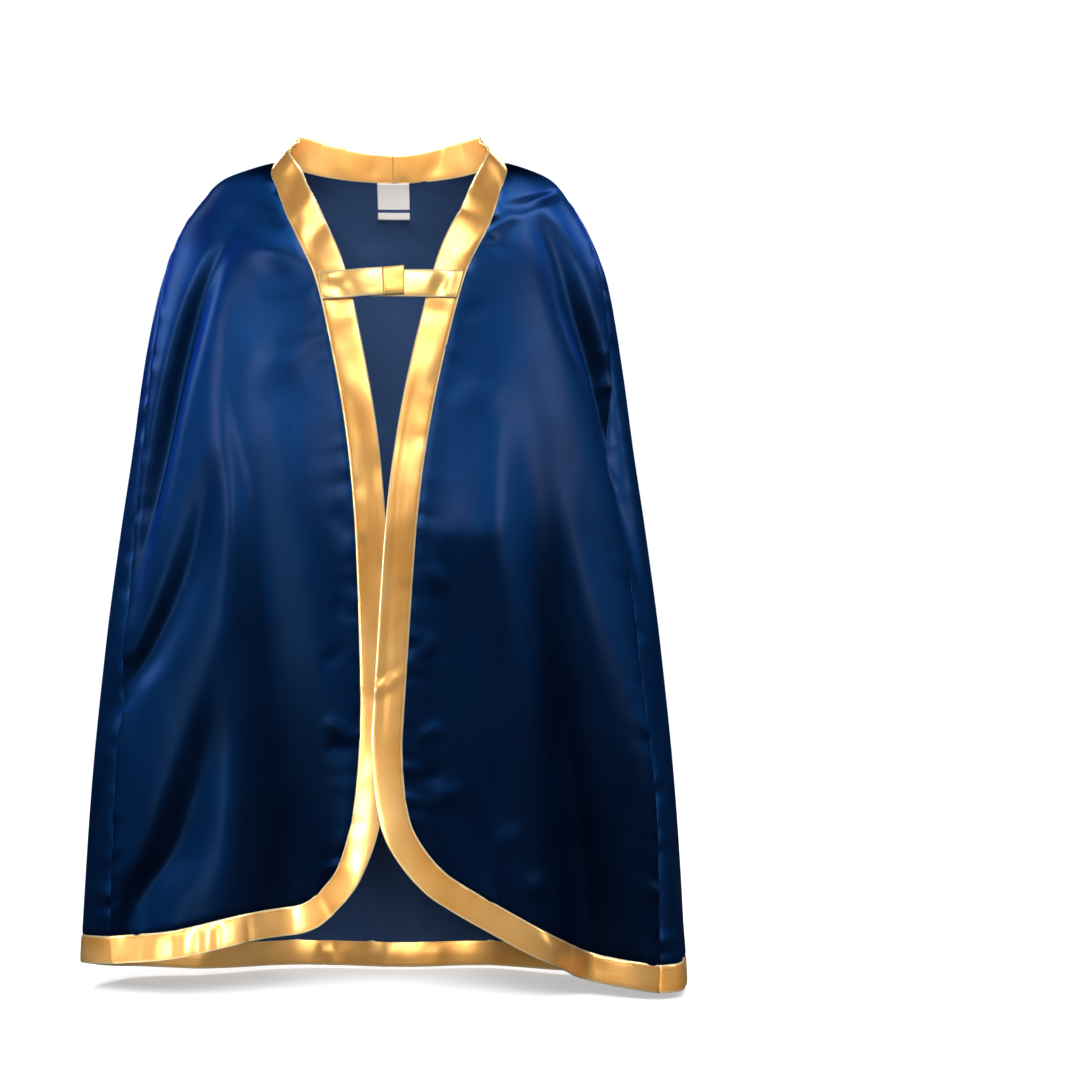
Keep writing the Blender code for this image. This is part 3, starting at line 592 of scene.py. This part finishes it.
# Soft bends across a band: how far along from its start in metres, half length mm, out mm, slant mm
bandBends = {
    "left": [
        (0.010, 6, -1.4, 6), (0.040, 9, 2.4, 18), (0.066, 9, -1.0, 12), (0.094, 10, -0.5, -10), (0.160, 9, 1.2, 8),
        (0.185, 8, -1.8, 10),
        (0.222, 14, 1.2, -10), (0.262, 8, 0.8, 6), (0.296, 7, -0.9, 5), (0.345, 20, 1.0, 14), (0.405, 12, -0.6, -9),
        (0.470, 16, 0.7, 10), (0.582, 3.2, -1.4, 16), (0.590, 3.5, 1.4, 16), (0.601, 5, -0.8, 12), (0.640, 8, 0.7, -8),
        (0.700, 14, 0.9, 10), (0.770, 12, -0.8, -9), (0.850, 14, 0.8, 10), (0.905, 10, -0.7, -8),
    ],
    "right": [
        (0.016, 7, 1.4, -7), (0.048, 9, -1.6, 16), (0.074, 9, 1.0, 14), (0.100, 10, -0.4, -10), (0.165, 8, 1.0, 6),
        (0.186, 8, -2.3, -9),
        (0.210, 9, 2.0, -12), (0.236, 9, -1.8, -14), (0.262, 6, 0.8, 6), (0.292, 7, -1.4, 8), (0.315, 6, -0.6, -5),
        (0.365, 16, 0.9, 12), (0.430, 12, -0.8, -10), (0.500, 14, -0.7, 12), (0.660, 10, 0.8, -8), (0.735, 9, 1.0, 8),
        (0.768, 4, -1.2, 2), (0.800, 10, 0.7, 4), (0.836, 2.4, -1.8, 0), (0.846, 6, 1.2, 2), (0.862, 3.2, -1.4, 5),
        (0.870, 3.0, 1.4, 6), (0.879, 3.2, -1.3, 6), (0.889, 4, 1.2, 5), (0.902, 4, -1.0, 4), (0.916, 5, 0.9, 3),
        (0.930, 4, -0.7, 2),
    ],
    "back": [
        (0.050, 8, 0.9, 6), (0.110, 10, -0.9, -8), (0.170, 7, 1.1, 8), (0.230, 9, -1.0, -6), (0.290, 8, 1.0, 7),
        (0.340, 7, -0.8, 5), (0.383, 3, -1.2, 6), (0.427, 3, -1.2, 4), (0.436, 3.5, -1.3, -8), (0.441, 3.5, -1.4, 8),
        (0.490, 8, 1.0, -6), (0.550, 9, -1.0, 7), (0.610, 8, 0.9, -6), (0.680, 9, -0.9, 6),
    ],
}
# Long shallow grooves down a band: from and to in metres along it, share across, half width as a share, out mm
bandGrooves = {
    "left": [(0.33, 0.66, 0.68, 0.15, -0.9), (0.70, 0.92, 0.40, 0.20, 0.5)],
    "right": [(0.34, 0.55, 0.42, 0.20, -0.6), (0.58, 0.74, 0.60, 0.20, 0.5)],
    "back": [(0.05, 0.70, 0.50, 0.25, -0.4)],
}


def bandMiddle(stations, before, after, side, towardsEdge, shares):
    chain = np.vstack([before[None], stations, after[None]])
    chainPoints = clothPoint(chain[:, 0], chain[:, 1], side)
    turn, height = stations[:, 0], stations[:, 1]
    roundIt, up, out = clothSlopes(turn, height, side)
    run = unit(chainPoints[2:] - chainPoints[:-2])
    across = unit(np.cross(out, run)) * towardsEdge
    standing = ease(band["leanFadesAt"], form["neckLevel"], height)
    aside = 180 - np.abs(180 - np.abs(turn))
    lean = (np.radians(np.interp(aside, *band["neck"][:, :2].T)) * standing)[:, None]
    raised = across * np.cos(lean) + out * np.sin(lean)
    turning = (across * roundIt).sum(-1) / (roundIt**2).sum(-1)
    climbing = (across * up).sum(-1) / (up**2).sum(-1)
    atNeck = np.interp(aside, *band["neck"][:, ::2].T)
    full = band["width"] + (band["hemWidth"] - band["width"]) * (
        1 - ease(band["narrowAt"], band["narrowsFrom"], height)) + (atNeck - band["width"]) * standing
    width = -band["overSeam"] + (full + band["overSeam"])[:, None] * shares[None]
    lying = clothPoint(turn[:, None] + turning[:, None] * width, height[:, None] + climbing[:, None] * width, side)
    risen = chainPoints[1:-1, None] + raised[:, None] * width[..., None]
    return lying + (risen - lying) * standing[:, None, None], width


def foldedStrip(name, middle, width, thickness, materials):
    # a flat tube of doubled cloth round a grid of points: out along one face and back along the other
    shares = np.linspace(0, 1, middle.shape[1])
    shares = 0.5 - 0.5 * np.cos(np.pi * shares)
    roundness = np.sqrt(np.clip(1 - np.abs(2 * shares - 1) ** 6, 0, 1)) / 2
    normals = outwardNormals(middle)
    half = roundness[None] * np.broadcast_to(thickness, len(middle))[:, None]
    half[0] = half[-1] = 0
    face = middle + normals * half[..., None]
    reverse = middle - normals * half[..., None]
    points = np.concatenate([face, reverse[:, -2::-1]], axis=1)
    run = runLength(middle[:, middle.shape[1] // 2])
    wide = np.concatenate([width, 2 * width[:, -1:] - width[:, -2::-1]], axis=1)
    lengths = np.stack([wide, np.repeat(run[:, None], points.shape[1], axis=1)], axis=-1)
    edge = np.minimum(width - width[:, :1], width[:, -1:] - width)
    edge = np.concatenate([edge, edge[:, -2::-1]], axis=1)
    return gridMesh(name, points, lengths, materials, wrapped=True, edge=edge), face


bandShares = 0.5 - 0.5 * np.cos(np.pi * np.linspace(0, 1, band["columns"] + 1))
stitchLines = []


def edgeBand(name, node, stations, before, after, side, towardsEdge, which):
    # two more stations close to the ends, so that the ends stay crisp
    near = band["endShare"]
    stations = np.vstack([
        stations[0], stations[0] + near * (stations[1] - stations[0]), stations[1:-1],
        stations[-1] + near * (stations[-2] - stations[-1]), stations[-1],
    ])
    middle, width = bandMiddle(stations, before, after, side, towardsEdge, bandShares)
    normals = outwardNormals(middle)
    run = runLength(middle[:, 0])[:, None]
    held = ease(0, 0.45, bandShares)[None]     # the seam holds one edge flat
    out = np.zeros(middle.shape[:2])
    for along, halfLength, depth, slant in bandBends[which]:
        apart = run - along - slant / 1000 * (bandShares[None] - 0.5)
        out += depth / 1000 * np.exp(-((apart * 1000 / halfLength) ** 2)) * held
    for start, end, across, halfShare, depth in bandGrooves[which]:
        window = ease(start, start + 0.06, run) * ease(0, 0.06, end - run)
        out += depth / 1000 * window * np.exp(-(((bandShares[None] - across) / halfShare) ** 2))
    out += band["puckerDepth"] * seamWaves(run, 0.024, 2.0 + towardsEdge) * np.exp(-((width / 0.009) ** 2))
    middle = middle + normals * out[..., None]
    piece, face = foldedStrip(name, middle, width, band["thickness"], [goldSatin])
    seat(piece, node)
    column = np.argmin(np.abs(width[len(width) // 2] - band["stitchIn"]))
    stitchLines.append(face[:, column])
    return piece


halfBack = (backMarks.shape[1] - 1) // 2
backNeck, backHem = backMarks[0], backMarks[-1]
leftStations = np.vstack([backNeck[halfBack::-1], frontMarks["left"][1:, 0], frontMarks["left"][-1, 1:]])
rightStations = np.vstack(
    [backNeck[halfBack:] - wholeTurn, frontMarks["right"][1:, 0], frontMarks["right"][-1, 1:]])
edgeBands = {
    "left": edgeBand("edgeBandLeftSatin", "edge_band_left", leftStations, backNeck[halfBack + 1], backHem[1],
                     1, -1, "left"),
    "right": edgeBand("edgeBandRightSatin", "edge_band_right", rightStations, backNeck[halfBack - 1] - wholeTurn,
                      backHem[-2] - wholeTurn, -1, 1, "right"),
}
hemBand = edgeBand("hemBandBackSatin", "hem_band_back", backHem, frontMarks["left"][-1, -2],
                   frontMarks["right"][-1, -2] + wholeTurn, 0, -1, "back")
print("bands folded")

strap = {
    "width": 0.022, "thickness": 0.0017, "stations": 56, "rows": 14,
    "lift": 0.0026, "layer": 0.0022, "climbs": (0.30, 0.62),
    # name, sewn turn at the top and bottom, free turn, height at both ends, layers under the free end
    "places": [
        ("left", 21.6, 19.2, -1.5, -0.0970, -0.0965, 0),
        ("right", -15.6, -13.6, 6.3, -0.0985, -0.0945, 1),
    ],
    # crumples near a sewn end: share along from it, share down, half length mm, half height mm, out mm
    "crumples": {
        "left": [(0.23, 0.60, 6.5, 9.0, -1.7), (0.36, 0.35, 5.0, 10.0, 0.9), (0.12, 0.45, 3.0, 9.0, 0.7),
                 (0.50, 0.50, 9.0, 12.0, 0.6)],
        "right": [(0.24, 0.66, 8.0, 6.5, -1.7), (0.14, 0.22, 6.0, 4.0, 0.9), (0.42, 0.40, 9.0, 9.0, 0.9),
                  (0.62, 0.80, 7.0, 6.0, -0.5)],
    },
    "tab": 0.016, "tabLift": 0.0007, "tabCorner": 0.0014,    # the end of the upper strap, turned under
    "boxFrom": 0.035, "boxTo": 0.125, "boxMargin": 0.10,
}
# The turned end of the upper strap: a copy of the gold satin in deeper colours, painted shade for the different way its
# grain takes the light, with its own painted edge highlight
goldTurnedEndPaintedShade = satinMaterial("goldSatinTurnedEndPaintedShade", dict(looks["gold"], deep="#e3a34c", light="#efb967"), "#f8e0a0")
# The straps: a paler copy of the gold satin, painted light for straps that face up into the light, with a painted edge
# highlight
strapSatinPaintedLight = satinMaterial("goldSatinStrapPaintedLight", dict(looks["gold"], deep="#efb763", light="#fbd892"), "#fff4c8")
strapLines = []


def chestStrap(which, topTurn, bottomTurn, freeTurn, height, freeHeight, layersUnder):
    crisp = np.array([0.006, 0.014])
    tabShare = 1 - strap["tab"] / 0.066
    share = np.linspace(0, 1, strap["stations"] + 1)
    share = np.unique(np.concatenate([share, crisp, 1 - crisp, tabShare - crisp, tabShare + crisp]))[:, None]
    down = (0.5 - 0.5 * np.cos(np.pi * np.linspace(0, 1, strap["rows"] + 1)))[None]
    sewn = topTurn + (bottomTurn - topTurn) * down
    turn = sewn + (freeTurn - sewn) * share
    middleHeight = height + (freeHeight - height) * share + strap["width"] * (0.5 - down)
    lift = strap["lift"] + layersUnder * strap["layer"] * ease(*strap["climbs"], share) + 0 * down
    length = 0.066
    for along, across, halfLength, halfHeight, out in strap["crumples"][which]:
        lift = lift + out / 1000 * np.exp(
            -(((share - along) * length * 1000 / halfLength) ** 2)
            - (((down - across) * strap["width"] * 1000 / halfHeight) ** 2)) * ease(0, 0.05, share)
    onTab = layersUnder * ease(tabShare - 0.006, tabShare + 0.006, share)
    lift = lift + onTab * (strap["tabLift"] / 2 + strap["tabCorner"] * ease(0.75, 1, share) * (1 - down) ** 2)
    points = clothPoint(turn, middleHeight, 0) + clothSlopes(turn, middleHeight, 0)[2] * lift[..., None]
    thickness = strap["thickness"] + onTab[:, 0] * strap["tabLift"]
    towardsRight = points[0, 0, 0] < points[-1, 0, 0]
    if towardsRight:
        points, thickness = points[:, ::-1], thickness
    width = np.repeat(strap["width"] * down, len(points), axis=0)
    piece, face = foldedStrip(f"strap{which.title()}Satin", points, width, thickness, [strapSatinPaintedLight, goldTurnedEndPaintedShade])
    if layersUnder:
        reach = runLength(points[:, points.shape[1] // 2])[-1] - strap["tab"]
        uvs = piece.data.uv_layers["cloth"].data
        # faces on the turned end take the second material, the painted shade
        for polygon in piece.data.polygons:
            if min(uvs[k].uv[1] for k in polygon.loop_indices) > reach - 0.0003:
                polygon.material_index = 1
    seat(piece, f"strap_{which}")
    # a box of stitches at the sewn end, and a row across the turned end
    rows = [round(margin * strap["rows"]) for margin in (strap["boxMargin"] + 0.05, 0.95 - strap["boxMargin"])]
    ends = [np.argmin(np.abs(share[:, 0] - end)) for end in (strap["boxFrom"], strap["boxTo"])]
    for end in ends:
        strapLines.append(face[end, rows[0]:rows[1] + 1])
    for row in rows:
        strapLines.append(face[ends[0]:ends[1] + 1, row])
    if layersUnder:
        strapLines.append(face[np.argmin(np.abs(share[:, 0] - tabShare - 0.03)), 1:-1])
    return piece


straps = {row[0]: chestStrap(*row) for row in strap["places"]}
print("straps sewn on")

label = {"width": 0.027, "length": 0.030, "thickness": 0.0005, "standOff": 0.0013, "curl": 0.0016}


# Damask woven label tape: white, matt, with one plain blue stripe
def labelMaterial():
    material, shader = newMaterial("wovenLabelTape", 0.7, **{"Sheen Weight": 0.15})
    uv = addNode(material, "ShaderNodeTexCoord").outputs["UV"]
    down = addNode(material, "ShaderNodeSeparateXYZ", links={"Vector": uv}).outputs["Y"]
    stripe = addNode(material, "ShaderNodeValToRGB", links={
        "Fac": addNode(material, "ShaderNodeMath", {1: 1 / label["length"]}, {0: down}, operation="MULTIPLY").outputs[0]})
    stripe.color_ramp.interpolation = "CONSTANT"
    stripe.color_ramp.elements[0].color = hexColour("#f4f0ea")
    stripe.color_ramp.elements[1].position = 0.70
    stripe.color_ramp.elements[1].color = hexColour("#2b4478")
    after = stripe.color_ramp.elements.new(0.79)
    after.color = hexColour("#f4f0ea")
    weave = addNode(material, "ShaderNodeTexWave", {"Scale": 1 / 0.0012, "Distortion": 0.3}, {"Vector": uv})
    bump = addNode(material, "ShaderNodeBump", {"Strength": 0.15, "Distance": 0.0001}, {"Height": weave.outputs["Fac"]})
    material.node_tree.links.new(stripe.outputs["Color"], shader.inputs["Base Color"])
    material.node_tree.links.new(bump.outputs["Normal"], shader.inputs["Normal"])
    return material


def neckLabel():
    down = np.linspace(0, 1, 25)[:, None]
    aside = np.linspace(-0.5, 0.5, 19)[None]
    height = form["neckLevel"] - 0.0004 - label["length"] * down + 0 * aside
    halfWidth, _, _, centre = ringAt(height)
    x = ringAt(np.float64(form["neckLevel"]))[3] + label["width"] * aside + 0 * down
    turn = 180 - np.degrees(np.arcsin((x - centre) / halfWidth))
    inward = label["standOff"] + label["curl"] * down**2 * (1 + 0.6 * aside)
    points = clothPoint(turn, height, 0) - clothSlopes(turn, height, 0)[2] * inward[..., None]
    lengths = np.stack([label["width"] * (aside + 0.5) + 0 * down, label["length"] * down + 0 * aside], axis=-1)
    piece = gridMesh("neckLabelTape", points, lengths, [labelMaterial()])
    solidify = piece.modifiers.new("Thickness", "SOLIDIFY")
    solidify.thickness = label["thickness"]
    solidify.offset = 0
    seat(piece, "neck_label")
    return piece


neckTape = neckLabel()
print("label in")


# Stitches: short threads laid end to end along a line
def stitchRows(name, lines, material):
    bm = bmesh.new()
    for points in lines:
        lengths = runLength(points)
        count = int(lengths[-1] / band["stitchPitch"])
        for k in range(count):
            ends = (k + 0.5) * band["stitchPitch"] + np.array([-0.5, 0.5]) * band["stitchLength"]
            a, b = (Vector([np.interp(end, lengths, points[:, axis]) for axis in range(3)]) for end in ends)
            turned = (b - a).to_track_quat("Z", "Y").to_matrix().to_4x4()
            bmesh.ops.create_cone(
                bm, cap_ends=True, segments=5, radius1=band["stitchRadius"], radius2=band["stitchRadius"],
                depth=(b - a).length, matrix=Matrix.Translation((a + b) / 2) @ turned)
    mesh = bpy.data.meshes.new(name)
    bm.to_mesh(mesh)
    bm.free()
    mesh.shade_smooth()
    mesh.materials.append(material)
    piece = bpy.data.objects.new(name, mesh)
    bpy.context.scene.collection.objects.link(piece)
    seat(piece, None)
    return piece


bandStitching = stitchRows("bandStitching", stitchLines, goldThread)
strapStitching = stitchRows("strapStitching", strapLines, strapThread)
print("stitching done")

# Printed foil design on the back: a star in an open laurel wreath, each shape on a dark outline
backPrint = {
    "middleHeight": -0.325, "cell": 0.004,
    "darkLift": 0.0004, "goldLift": 0.0006, "film": 0.0001, "outline": 0.0022,
    "starPoints": (0.078, 0.052), "starInner": 0.026,
    "wreath": (0.112, 0.160), "wreathFrom": -78, "wreathTo": 58, "leaves": 11,
    "leaf": (0.042, 0.019), "leafTurn": 34, "tipShare": 0.72, "veinGap": 0.0012,
    "stemWidth": 0.003, "berry": 0.0035, "berryOut": 0.022,
}


# Foil print: a thin plastic film, so gold that is duller than the satin, and black outlines with a faint gloss
def filmMaterial(name, colour, roughness, metallic):
    material, shader = newMaterial(name, roughness, **{"Base Color": hexColour(colour), "Metallic": metallic})
    place = addNode(material, "ShaderNodeTexCoord").outputs["Object"]
    # Specks of about 0.6 mm where the film follows the weave
    specks = addNode(material, "ShaderNodeTexNoise", {"Scale": 1 / 0.0006, "Detail": 2.0}, {"Vector": place})
    bump = addNode(material, "ShaderNodeBump", {"Strength": 0.1, "Distance": 0.0002}, {"Height": specks.outputs["Fac"]})
    material.node_tree.links.new(bump.outputs["Normal"], shader.inputs["Normal"])
    return material


goldFilm = filmMaterial("goldFoilFilm", "#cda557", 0.5, 0.2)
shadeFilm = filmMaterial("darkGoldFoilFilm", "#a97f2c", 0.5, 0.2)
blackFilm = filmMaterial("blackFilm", "#0d0c0b", 0.4, 0.0)


# Corners moved out from a flat shape, each along the half angle of its two sides
def outlined(corners, by):
    corners = np.asarray(corners)
    ahead = unit(np.roll(corners, -1, axis=0) - corners)
    behind = unit(corners - np.roll(corners, 1, axis=0))
    area = np.sum(corners[:, 0] * np.roll(corners[:, 1], -1) - corners[:, 1] * np.roll(corners[:, 0], -1))
    out = [np.stack([side[:, 1], -side[:, 0]], axis=-1) * np.sign(area) for side in (ahead, behind)]
    share = np.maximum(1 + np.sum(out[0] * out[1], axis=-1, keepdims=True), 0.6)
    return corners + by * (out[0] + out[1]) / share


def leafHalves(base, tangent, length, width):
    side = np.array([-tangent[1], tangent[0]])
    along = np.linspace(0, 1, 9)
    bulge = width / 2 * np.sin(np.pi * along**0.8)
    gap = backPrint["veinGap"] / 2 * (1 - along)
    halves = []
    for sign in (1, -1):
        outer = base + length * along[:, None] * tangent + sign * (bulge + gap)[:, None] * side
        inner = base + length * along[::-1, None] * tangent + sign * gap[::-1, None] * side
        halves.append(np.vstack([outer, inner[1:]]))
    whole = np.vstack([
        base + length * along[:, None] * tangent + (bulge + gap)[:, None] * side,
        (base + length * along[:, None] * tangent - (bulge + gap)[:, None] * side)[-2:0:-1]])
    return whole, halves


# All the shapes, flat: across the back, up from the middle of the design, and which film each is of
def printShapes():
    shapes = []
    points = np.radians(90 - 22.5 * np.arange(16))
    long, short = backPrint["starPoints"]
    sizes = np.where(np.arange(16) % 4 == 0, long, np.where(np.arange(16) % 2 == 0, short, backPrint["starInner"]))
    star = sizes[:, None] * np.stack([np.cos(points), np.sin(points)], axis=-1)
    shapes.append((outlined(star, backPrint["outline"]), 2))
    for i in range(0, 16, 2):
        for corner, film in ((i - 1, 0), (i + 1, 1)):
            shapes.append((np.array([(0, 0), star[corner], star[i]]) * 0.985, film))
    wide, tall = backPrint["wreath"]
    fine = np.radians(np.linspace(backPrint["wreathFrom"], backPrint["wreathTo"], 200))
    along = runLength(np.stack([wide * np.cos(fine), tall * np.sin(fine)], axis=-1))
    angles = np.interp(np.linspace(0, along[-1], backPrint["leaves"]), along, fine)
    for sign in (1, -1):
        mirror = np.array([sign, 1])
        curve = np.radians(np.linspace(backPrint["wreathFrom"] - 3, backPrint["wreathTo"], 40))
        stem = np.stack([wide * np.cos(curve), tall * np.sin(curve)], axis=-1)
        normal = unit(np.stack([np.cos(curve) / wide, np.sin(curve) / tall], axis=-1))
        half = backPrint["stemWidth"] / 2
        shapes.append((np.vstack([stem + half * normal, (stem - half * normal)[::-1]]) * mirror, 1))
        for i, angle in enumerate(angles):
            base = np.array([wide * np.cos(angle), tall * np.sin(angle)])
            heading = math.atan2(tall * math.cos(angle), -wide * math.sin(angle))
            size = 1 + (backPrint["tipShare"] - 1) * i / (len(angles) - 1)
            for turn in (-1, 1) if i < len(angles) - 1 else (0,):
                off = heading + turn * math.radians(backPrint["leafTurn"])
                tangent = np.array([math.cos(off), math.sin(off)])
                whole, halves = leafHalves(base, tangent, *(size * side for side in backPrint["leaf"]))
                shapes.append((outlined(whole, backPrint["outline"]) * mirror, 2))
                shapes += [(halfLeaf * mirror, film) for film, halfLeaf in enumerate(halves)]
            if i % 3 == 1:
                around = np.radians(np.arange(0, 360, 30))
                berry = base + backPrint["berryOut"] * np.array([math.cos(angle), math.sin(angle)])
                ring = berry + backPrint["berry"] * np.stack([np.cos(around), np.sin(around)], axis=-1)
                shapes.append((outlined(ring, backPrint["outline"]) * mirror, 2))
                shapes.append((ring * mirror, 0))
    return shapes


# Each shape is cut from a fine flat sheet, so that it follows the cloth, and lies just off it
def foilPrint():
    bm = bmesh.new()
    arcBack = np.interp(180, turnSteps, arcSteps)
    for order, (corners, film) in enumerate(printShapes()):
        flat = bmesh.new()
        verts = [flat.verts.new((x, y, 0)) for x, y in corners]
        flat.faces.new(verts)
        low, high = corners.min(axis=0), corners.max(axis=0)
        for axis in (0, 1):
            for cut in np.arange(low[axis] + backPrint["cell"], high[axis], backPrint["cell"]):
                bmesh.ops.bisect_plane(flat, geom=[*flat.verts, *flat.edges, *flat.faces], dist=1e-6,
                                       plane_co=(cut, cut, 0), plane_no=(1 - axis, axis, 0))
        bmesh.ops.triangulate(flat, faces=flat.faces)
        places = np.array([vert.co[:2] for vert in flat.verts])
        height = backPrint["middleHeight"] + places[:, 1]
        turn = np.interp(arcBack - places[:, 0] * ringSample[0] / ringAt(height)[0], arcSteps, turnSteps)
        lift = backPrint["darkLift"] if film == 2 else backPrint["goldLift"]
        lift += order * 4e-7
        placed = clothPoint(turn, height, 0) + clothSlopes(turn, height, 0)[2] * (panel["thickness"] / 2 + lift)
        flat.verts.index_update()
        made = [bm.verts.new(point) for point in placed]
        for face in flat.faces:
            new = bm.faces.new([made[vert.index] for vert in face.verts])
            new.material_index = film
            new.smooth = True
        flat.free()
    bm.normal_update()
    inward = [face for face in bm.faces if face.normal.y < 0]
    bmesh.ops.reverse_faces(bm, faces=inward)
    for edge in bm.edges:
        edge.smooth = len(edge.link_faces) == 2
    mesh = bpy.data.meshes.new("backPrintFoil")
    bm.to_mesh(mesh)
    bm.free()
    for material in (goldFilm, shadeFilm, blackFilm):
        mesh.materials.append(material)
    piece = bpy.data.objects.new("backPrintFoil", mesh)
    bpy.context.scene.collection.objects.link(piece)
    thick = piece.modifiers.new("film", "SOLIDIFY")
    thick.thickness = backPrint["film"]
    thick.offset = -1
    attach(piece, "root")
    return piece


backPrintFoil = foilPrint()
print("back printed")

# Studio: a round pale floor in white air, and soft lights
studio = {
    "floorBelow": 0.002, "floorRadius": 2.6,
    "cameraPlace": (0.1283, -2.4, -0.2993), "acrossAtOrigin": 0.8856,
    "middle": (0.0, 0.0, -0.25),
    "coolLight": (0.45, 0.88, 1.0),    # at the sides, so that the satin stays blue where it turns away
    # name, what it lights, degrees round from the front, degrees up, distance, size, power
    "lights": [
        ("frontSoftbox", "blue", 10, 46, 2.3, (0.7, 0.7), 12.5), ("highSoftbox", "blue", 10, 62, 2.3, (0.7, 0.7), 13.5),
        ("levelSoftbox", "blue", -10, 20, 2.3, (0.7, 0.7), 6.3), ("leftSoftbox", "blue", -50, 18, 2.3, (0.7, 0.7), 8),
        ("lowLeftSoftbox", "side", -50, -6, 2.3, (0.7, 0.7), 4.3), ("rightSoftbox", "blue", 52, 16, 2.3, (0.7, 0.7), 7),
        ("highRightSoftbox", "blue", 70, 46, 2.3, (0.7, 0.7), 10), ("farLeftSoftbox", "side", -104, 22, 2.3, (0.7, 0.7), 13),
        ("leftRimSoftbox", "side", -125, 32, 2.3, (0.7, 0.7), 5), ("rightRimSoftbox", "side", 118, 32, 2.3, (0.7, 0.7), 9),
        ("backLeftSoftbox", "back", 150, 30, 3.0, (0.8, 0.6), 17),
        ("backRightSoftbox", "back", -158, 18, 3.0, (0.8, 0.8), 12),
        ("backLowSoftbox", "back", 176, -8, 3.0, (0.9, 0.6), 12),
        ("printSoftbox", "print", 168, 12, 3.0, (0.9, 0.6), 16),
        ("frontGoldSoftbox", "gold", 4, 33, 2.3, (1.0, 0.45), 20),
        ("leftGoldSoftbox", "gold", -48, 2, 2.3, (0.7, 0.5), 9),
        ("rightGoldSoftbox", "gold", 84, 12, 2.3, (0.5, 1.0), 6),
    ],
}


# Matt white paper. It is white to the eye, and sends back less light, as paper lit only near the object does
def paperFloor():
    material, shader = newMaterial("mattWhitePaper", 0.9, **{"Specular IOR Level": 0.1})
    seen = addNode(material, "ShaderNodeLightPath").outputs["Is Camera Ray"]
    tone = addNode(material, "ShaderNodeValToRGB", links={"Fac": seen})
    tone.color_ramp.elements[0].color = hexColour("#2c2c2c")
    tone.color_ramp.elements[1].color = hexColour("#f8f8f8")
    material.node_tree.links.new(tone.outputs["Color"], shader.inputs["Base Color"])
    bm = bmesh.new()
    level = Matrix.Translation((0, 0, cadBox[0][2] - studio["floorBelow"]))
    bmesh.ops.create_circle(bm, cap_ends=True, segments=128, radius=studio["floorRadius"], matrix=level)
    mesh = bpy.data.meshes.new("floor")
    bm.to_mesh(mesh)
    bm.free()
    mesh.materials.append(material)
    floor = bpy.data.objects.new("floor", mesh)
    bpy.context.scene.collection.objects.link(floor)
    return floor


def softLight(name, place, target, size, power, spread):
    light = bpy.data.lights.new(name, "AREA")
    light.shape = "RECTANGLE"
    light.size, light.size_y = size
    light.energy = power
    light.spread = math.radians(spread)
    lamp = bpy.data.objects.new(name, light)
    lamp.location = place
    lamp.rotation_euler = (Vector(target) - Vector(place)).to_track_quat("-Z", "Y").to_euler()
    lamp.visible_camera = False
    bpy.context.scene.collection.objects.link(lamp)
    return lamp


# Some lights reach a few things alone
def lightOnly(lamp, *things):
    lamp.light_linking.receiver_collection = bpy.data.collections.new(lamp.name + "Reach")
    for thing in things:
        lamp.light_linking.receiver_collection.objects.link(thing)


def aimedLight(name, turn, up, distance, size, power):
    turn, up = math.radians(turn), math.radians(up)
    toward = Vector((math.cos(up) * math.sin(turn), -math.cos(up) * math.cos(turn), math.sin(up)))
    return softLight(name, Vector(studio["middle"]) + distance * toward, studio["middle"], size, power, 130)


floor = paperFloor()
goldPieces = [*edgeBands.values(), hemBand, *straps.values(), bandStitching, strapStitching, neckTape]
bluePieces = [backPanel, *frontPanels.values()]
reach = {
    "blue": bluePieces, "side": bluePieces, "gold": goldPieces, "print": [backPrintFoil],
    "back": [backPanel, backPrintFoil, *goldPieces],
}
for name, things, *place in studio["lights"]:
    lamp = aimedLight(name, *place)
    lightOnly(lamp, *reach[things])
    if things == "side":
        lamp.data.color = studio["coolLight"]
lightOnly(softLight("floorHighSoftbox", (0.1, 0.8, 5.0), (0.1, 0.8, -0.7), (5.0, 5.0), 280, 180), floor)
openLight = softLight("floorOpenSoftbox", (0.1, 0.8, 5.0), (0.1, 0.8, -0.7), (5.0, 5.0), 250, 180)
openLight.data.use_shadow = False    # stands for the light that a white room sends under the hem
lightOnly(openLight, floor)
lightOnly(softLight("floorFrontSoftbox", (0.3, -4.0, 1.2), (0.1, 0.0, -0.7), (3.0, 1.0), 320, 180), floor)
lightOnly(softLight("neckFill", (0.005, -0.06, 0.06), (0.005, 0.06, 0.0), (0.10, 0.03), 0.24, 150),
          *edgeBands.values())
lightOnly(softLight("lowSoftbox", (0.3, -2.3, -0.35), (0.0, 0.1, -0.55), (1.0, 0.3), 6, 100), backPanel, hemBand, neckTape)
lightOnly(softLight("hemFill", (0.2, -2.3, -0.45), (0.0, 0.1, -0.65), (1.0, 0.2), 5, 100), hemBand)
lightOnly(softLight("hemSoftbox", (-1.2, -1.8, -0.50), (-0.24, -0.1, -0.66), (0.4, 0.15), 1.0, 20), *edgeBands.values())
# White air behind, and little light from it
world = bpy.data.worlds.new("studioAir")
world.use_nodes = True
bpy.context.scene.world = world
air = world.node_tree.nodes["Background"]
air.inputs["Color"].default_value = hexColour("#e8edf5")
seen = addNode(world, "ShaderNodeLightPath").outputs["Is Camera Ray"]
strength = addNode(world, "ShaderNodeMapRange", {"To Min": 0.008, "To Max": 1.25}, {"Value": seen})
world.node_tree.links.new(strength.outputs["Result"], air.inputs["Strength"])
bpy.context.scene.view_settings.view_transform = "Standard"

camera = bpy.data.cameras.new("camera")
camera.sensor_width = 36
camera.lens = 36 * abs(studio["cameraPlace"][1]) / studio["acrossAtOrigin"]
cameraObject = bpy.data.objects.new("camera", camera)
cameraObject.location = studio["cameraPlace"]
cameraObject.rotation_euler = (math.pi / 2, 0, 0)
bpy.context.scene.collection.objects.link(cameraObject)
bpy.context.scene.camera = cameraObject
print("studio lit")
